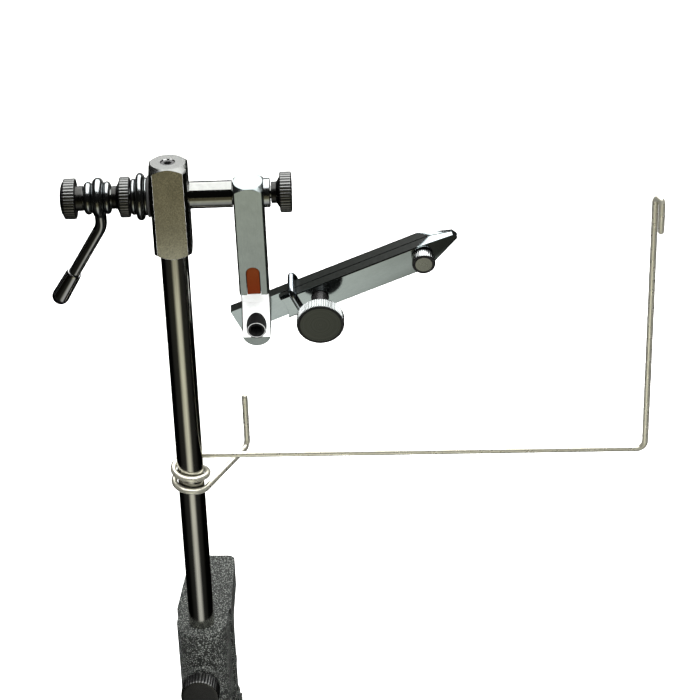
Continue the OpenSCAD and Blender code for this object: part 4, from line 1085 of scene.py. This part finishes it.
def cradle():
    """One length of wire: hook, riser, run, coil round the post, finger leg and stub."""
    coil_r, turns, pitch, drop, steps = POST_R + COIL_FIT + WIRE_R, 1.68, 5.2, 107.6, 110
    run_turn, hook_turn = math.radians(1.8), math.radians(48)
    run_len, riser_h, finger_len, stub_h, bend_r = 164.6, 99, 31.5, 21, 3.0
    hook_w, hook_leg, hook_steps = 3.0, 10.2, 18
    run = Vector((math.cos(run_turn), -math.sin(run_turn), 0))
    hook = Vector((math.cos(hook_turn), -math.sin(hook_turn), 0))
    start = math.pi / 2 - run_turn
    coil = []
    for i in range(steps + 1):
        s = turns * i / steps
        a = start + math.tau * s
        coil.append(Vector((coil_r * math.cos(a), coil_r * math.sin(a), -drop - pitch * s)))
    end = start + math.tau * turns
    finger = Vector((-math.sin(end), math.cos(end), 0))
    run_corner = Vector((coil_r * math.cos(start), coil_r * math.sin(start), -drop)) + run * run_len
    foot = run_corner + UP * riser_h
    bend = [foot + hook * (hook_w / 2) * (1 - math.cos(b)) + UP * (hook_w / 2) * math.sin(b)
            for b in [math.pi * i / hook_steps for i in range(hook_steps, -1, -1)]]
    finger_corner = coil[-1] + finger * finger_len
    path = [foot + hook * hook_w - UP * hook_leg] + bend + corner(run_corner, -UP, -run, bend_r) + coil
    path += corner(finger_corner, finger, UP, bend_r) + [finger_corner + UP * stub_h]
    wire = tube("cradle_wire", path, WIRE_R, POST, 24, UP.cross(hook))
    seat(wire, "wire", "cradle", "wire_steel", "bobbin_cradle")


# Table clamp, in millimetres above the table's top: CLAMP is on the post's axis, SCREW on the clamp screw's

PAD_LOW, PAD_T, PAD_R, PAD_SOCKET_R = -34.0, 6.0, 8.5, 3.25
SCREW_LOW, SCREW_HEAD_H = -96.0, 14
BAR_R, BAR_HALF = 2.5, 30


def clamp():
    """The cast body, the pad, its screw with the tommy bar, and the post's lock screw."""
    dress("clamp_body_form", "clamp_body", CLAMP, 0.7, 4, "clamp", "clamp", "hammertone")
    clamp_pad()
    clamp_screw()
    tommy_bar()
    lock_screw()


def clamp_pad():
    """The swivel pad: a turned disc with a socket in its underside."""
    middle, top, edge = PAD_LOW + PAD_T / 2, PAD_LOW + PAD_T, 0.6
    side = softened([(PAD_LOW, PAD_SOCKET_R), (PAD_LOW, PAD_R * 0.62), (middle, PAD_R), (top - edge, PAD_R),
                     (top, PAD_R - edge), (top, 0)], 0.35)
    pad = revolve("clamp_pad_form", [(middle, 0), (middle, PAD_SOCKET_R)] + side, SCREW, 96)
    seat(pad, "pad", "clamp_pad", "pad_steel", "clamp_pad")


def clamp_screw():
    """The screw's thread, its ball end in the pad's socket and its head."""
    neck = PAD_LOW - 0.3
    thread = threaded("clamp_screw_thread", neck - 1.2, SCREW_LOW - 0.5, 4.0, 1.6, 0.6, SCREW, 48, 10)
    ball = softened([(neck + 3.0, 0), (neck + 3.0, 3.2), (neck, 3.2), (neck - 1.0, 3.4), (neck - 1.4, 3.4),
                     (neck - 1.4, 0)], 0.4)
    ball = revolve("clamp_screw_ball", ball, SCREW, 64)
    for piece in (thread, ball, cross_drilled_head()):
        seat(piece, "zinc", "clamp_screw", "zinc_steel", "clamp_screw")


def cross_drilled_head():
    """The clamp screw's head, cut from its CAD solid with its cross bore and closed at the cut."""
    obj = dressed("clamp_screw_head", "clamp_screw", SCREW, 0.0)
    back = SCREW.inverted()
    bm = bmesh.new()
    bm.from_mesh(obj.data)
    bmesh.ops.delete(bm, geom=[v for v in bm.verts if (back @ v.co).z > SCREW_LOW + 0.1], context="VERTS")
    bmesh.ops.holes_fill(bm, edges=[e for e in bm.edges if e.is_boundary], sides=0)
    bm.to_mesh(obj.data)
    bm.free()
    return obj


def tommy_bar():
    """The bar through the screw's head, with a cap on each end."""
    bar = along_x(SCREW @ Matrix.Translation((0, 0, SCREW_LOW - SCREW_HEAD_H / 2)))
    rod = softened([(-BAR_HALF, 0), (-BAR_HALF, BAR_R), (BAR_HALF, BAR_R), (BAR_HALF, 0)], 0.3)
    seat(revolve("tommy_bar_rod", rod, bar, 64), "zinc", "tommy_bar", "zinc_steel", "tommy_bar")
    cap = softened([(27, BAR_R), (27, 3.6), (27.5, 4.1), (31.4, 4.1), (33, 2.6), (33, 0)], 0.5, 4)
    for side, name in ((1, "bar_cap_right"), (-1, "bar_cap_left")):
        skin = [(side * z, r) for z, r in cap]
        obj = revolve(name, [(side * BAR_HALF, 0), (side * BAR_HALF, BAR_R)] + skin, bar, 64)
        seat(obj, "plastic", "tommy_bar", "black_plastic", "tommy_bar_caps")


def lock_screw():
    """The knurled screw that locks the post, in front of the clamp's boss."""
    drop, boss_r, proud, gap, stand = 8, 9.5, 2.2, 0.3, 2.5
    knob_r, knob_t, collar_r, collar_len = 7.2, 6, 4.32, 2.2
    place = along_y(CLAMP @ Matrix.Translation((0, 0, -drop)))
    neck = -(boss_r + proud + gap + stand)
    face = neck - knob_t
    collar = [(neck, knob_r - 1.0), (neck, collar_r), (neck + collar_len, collar_r), (neck + collar_len, 0)]
    band = knurled_band(face, neck, knob_r, 0.6)
    knurl = (face, neck, KNURL_DEPTH, KNURL_COUNT, KNURL_CHAMFER)
    knob = revolve("post_lock_knob", [(face, 0), (face, knob_r - 1.4)] + band + softened(collar, 0.3), place,
                   knurl=knurl)
    seat(knob, "knob", "post_lock", "black_oxide", "post_lock_screw")
    thread = threaded("post_lock_thread", neck, -POST_R - gap, 3.0, 1.0, 0.35, place)
    seat(thread, "cap", "post_lock", "black_oxide", "post_lock_screw")


camera()
studio()
head_and_post()
rotor()
crank()
drag_knob()
crank_lock_knob()
arm_lock_knob()
arm()
jaws()
jaw_knobs()
cradle()
clamp()
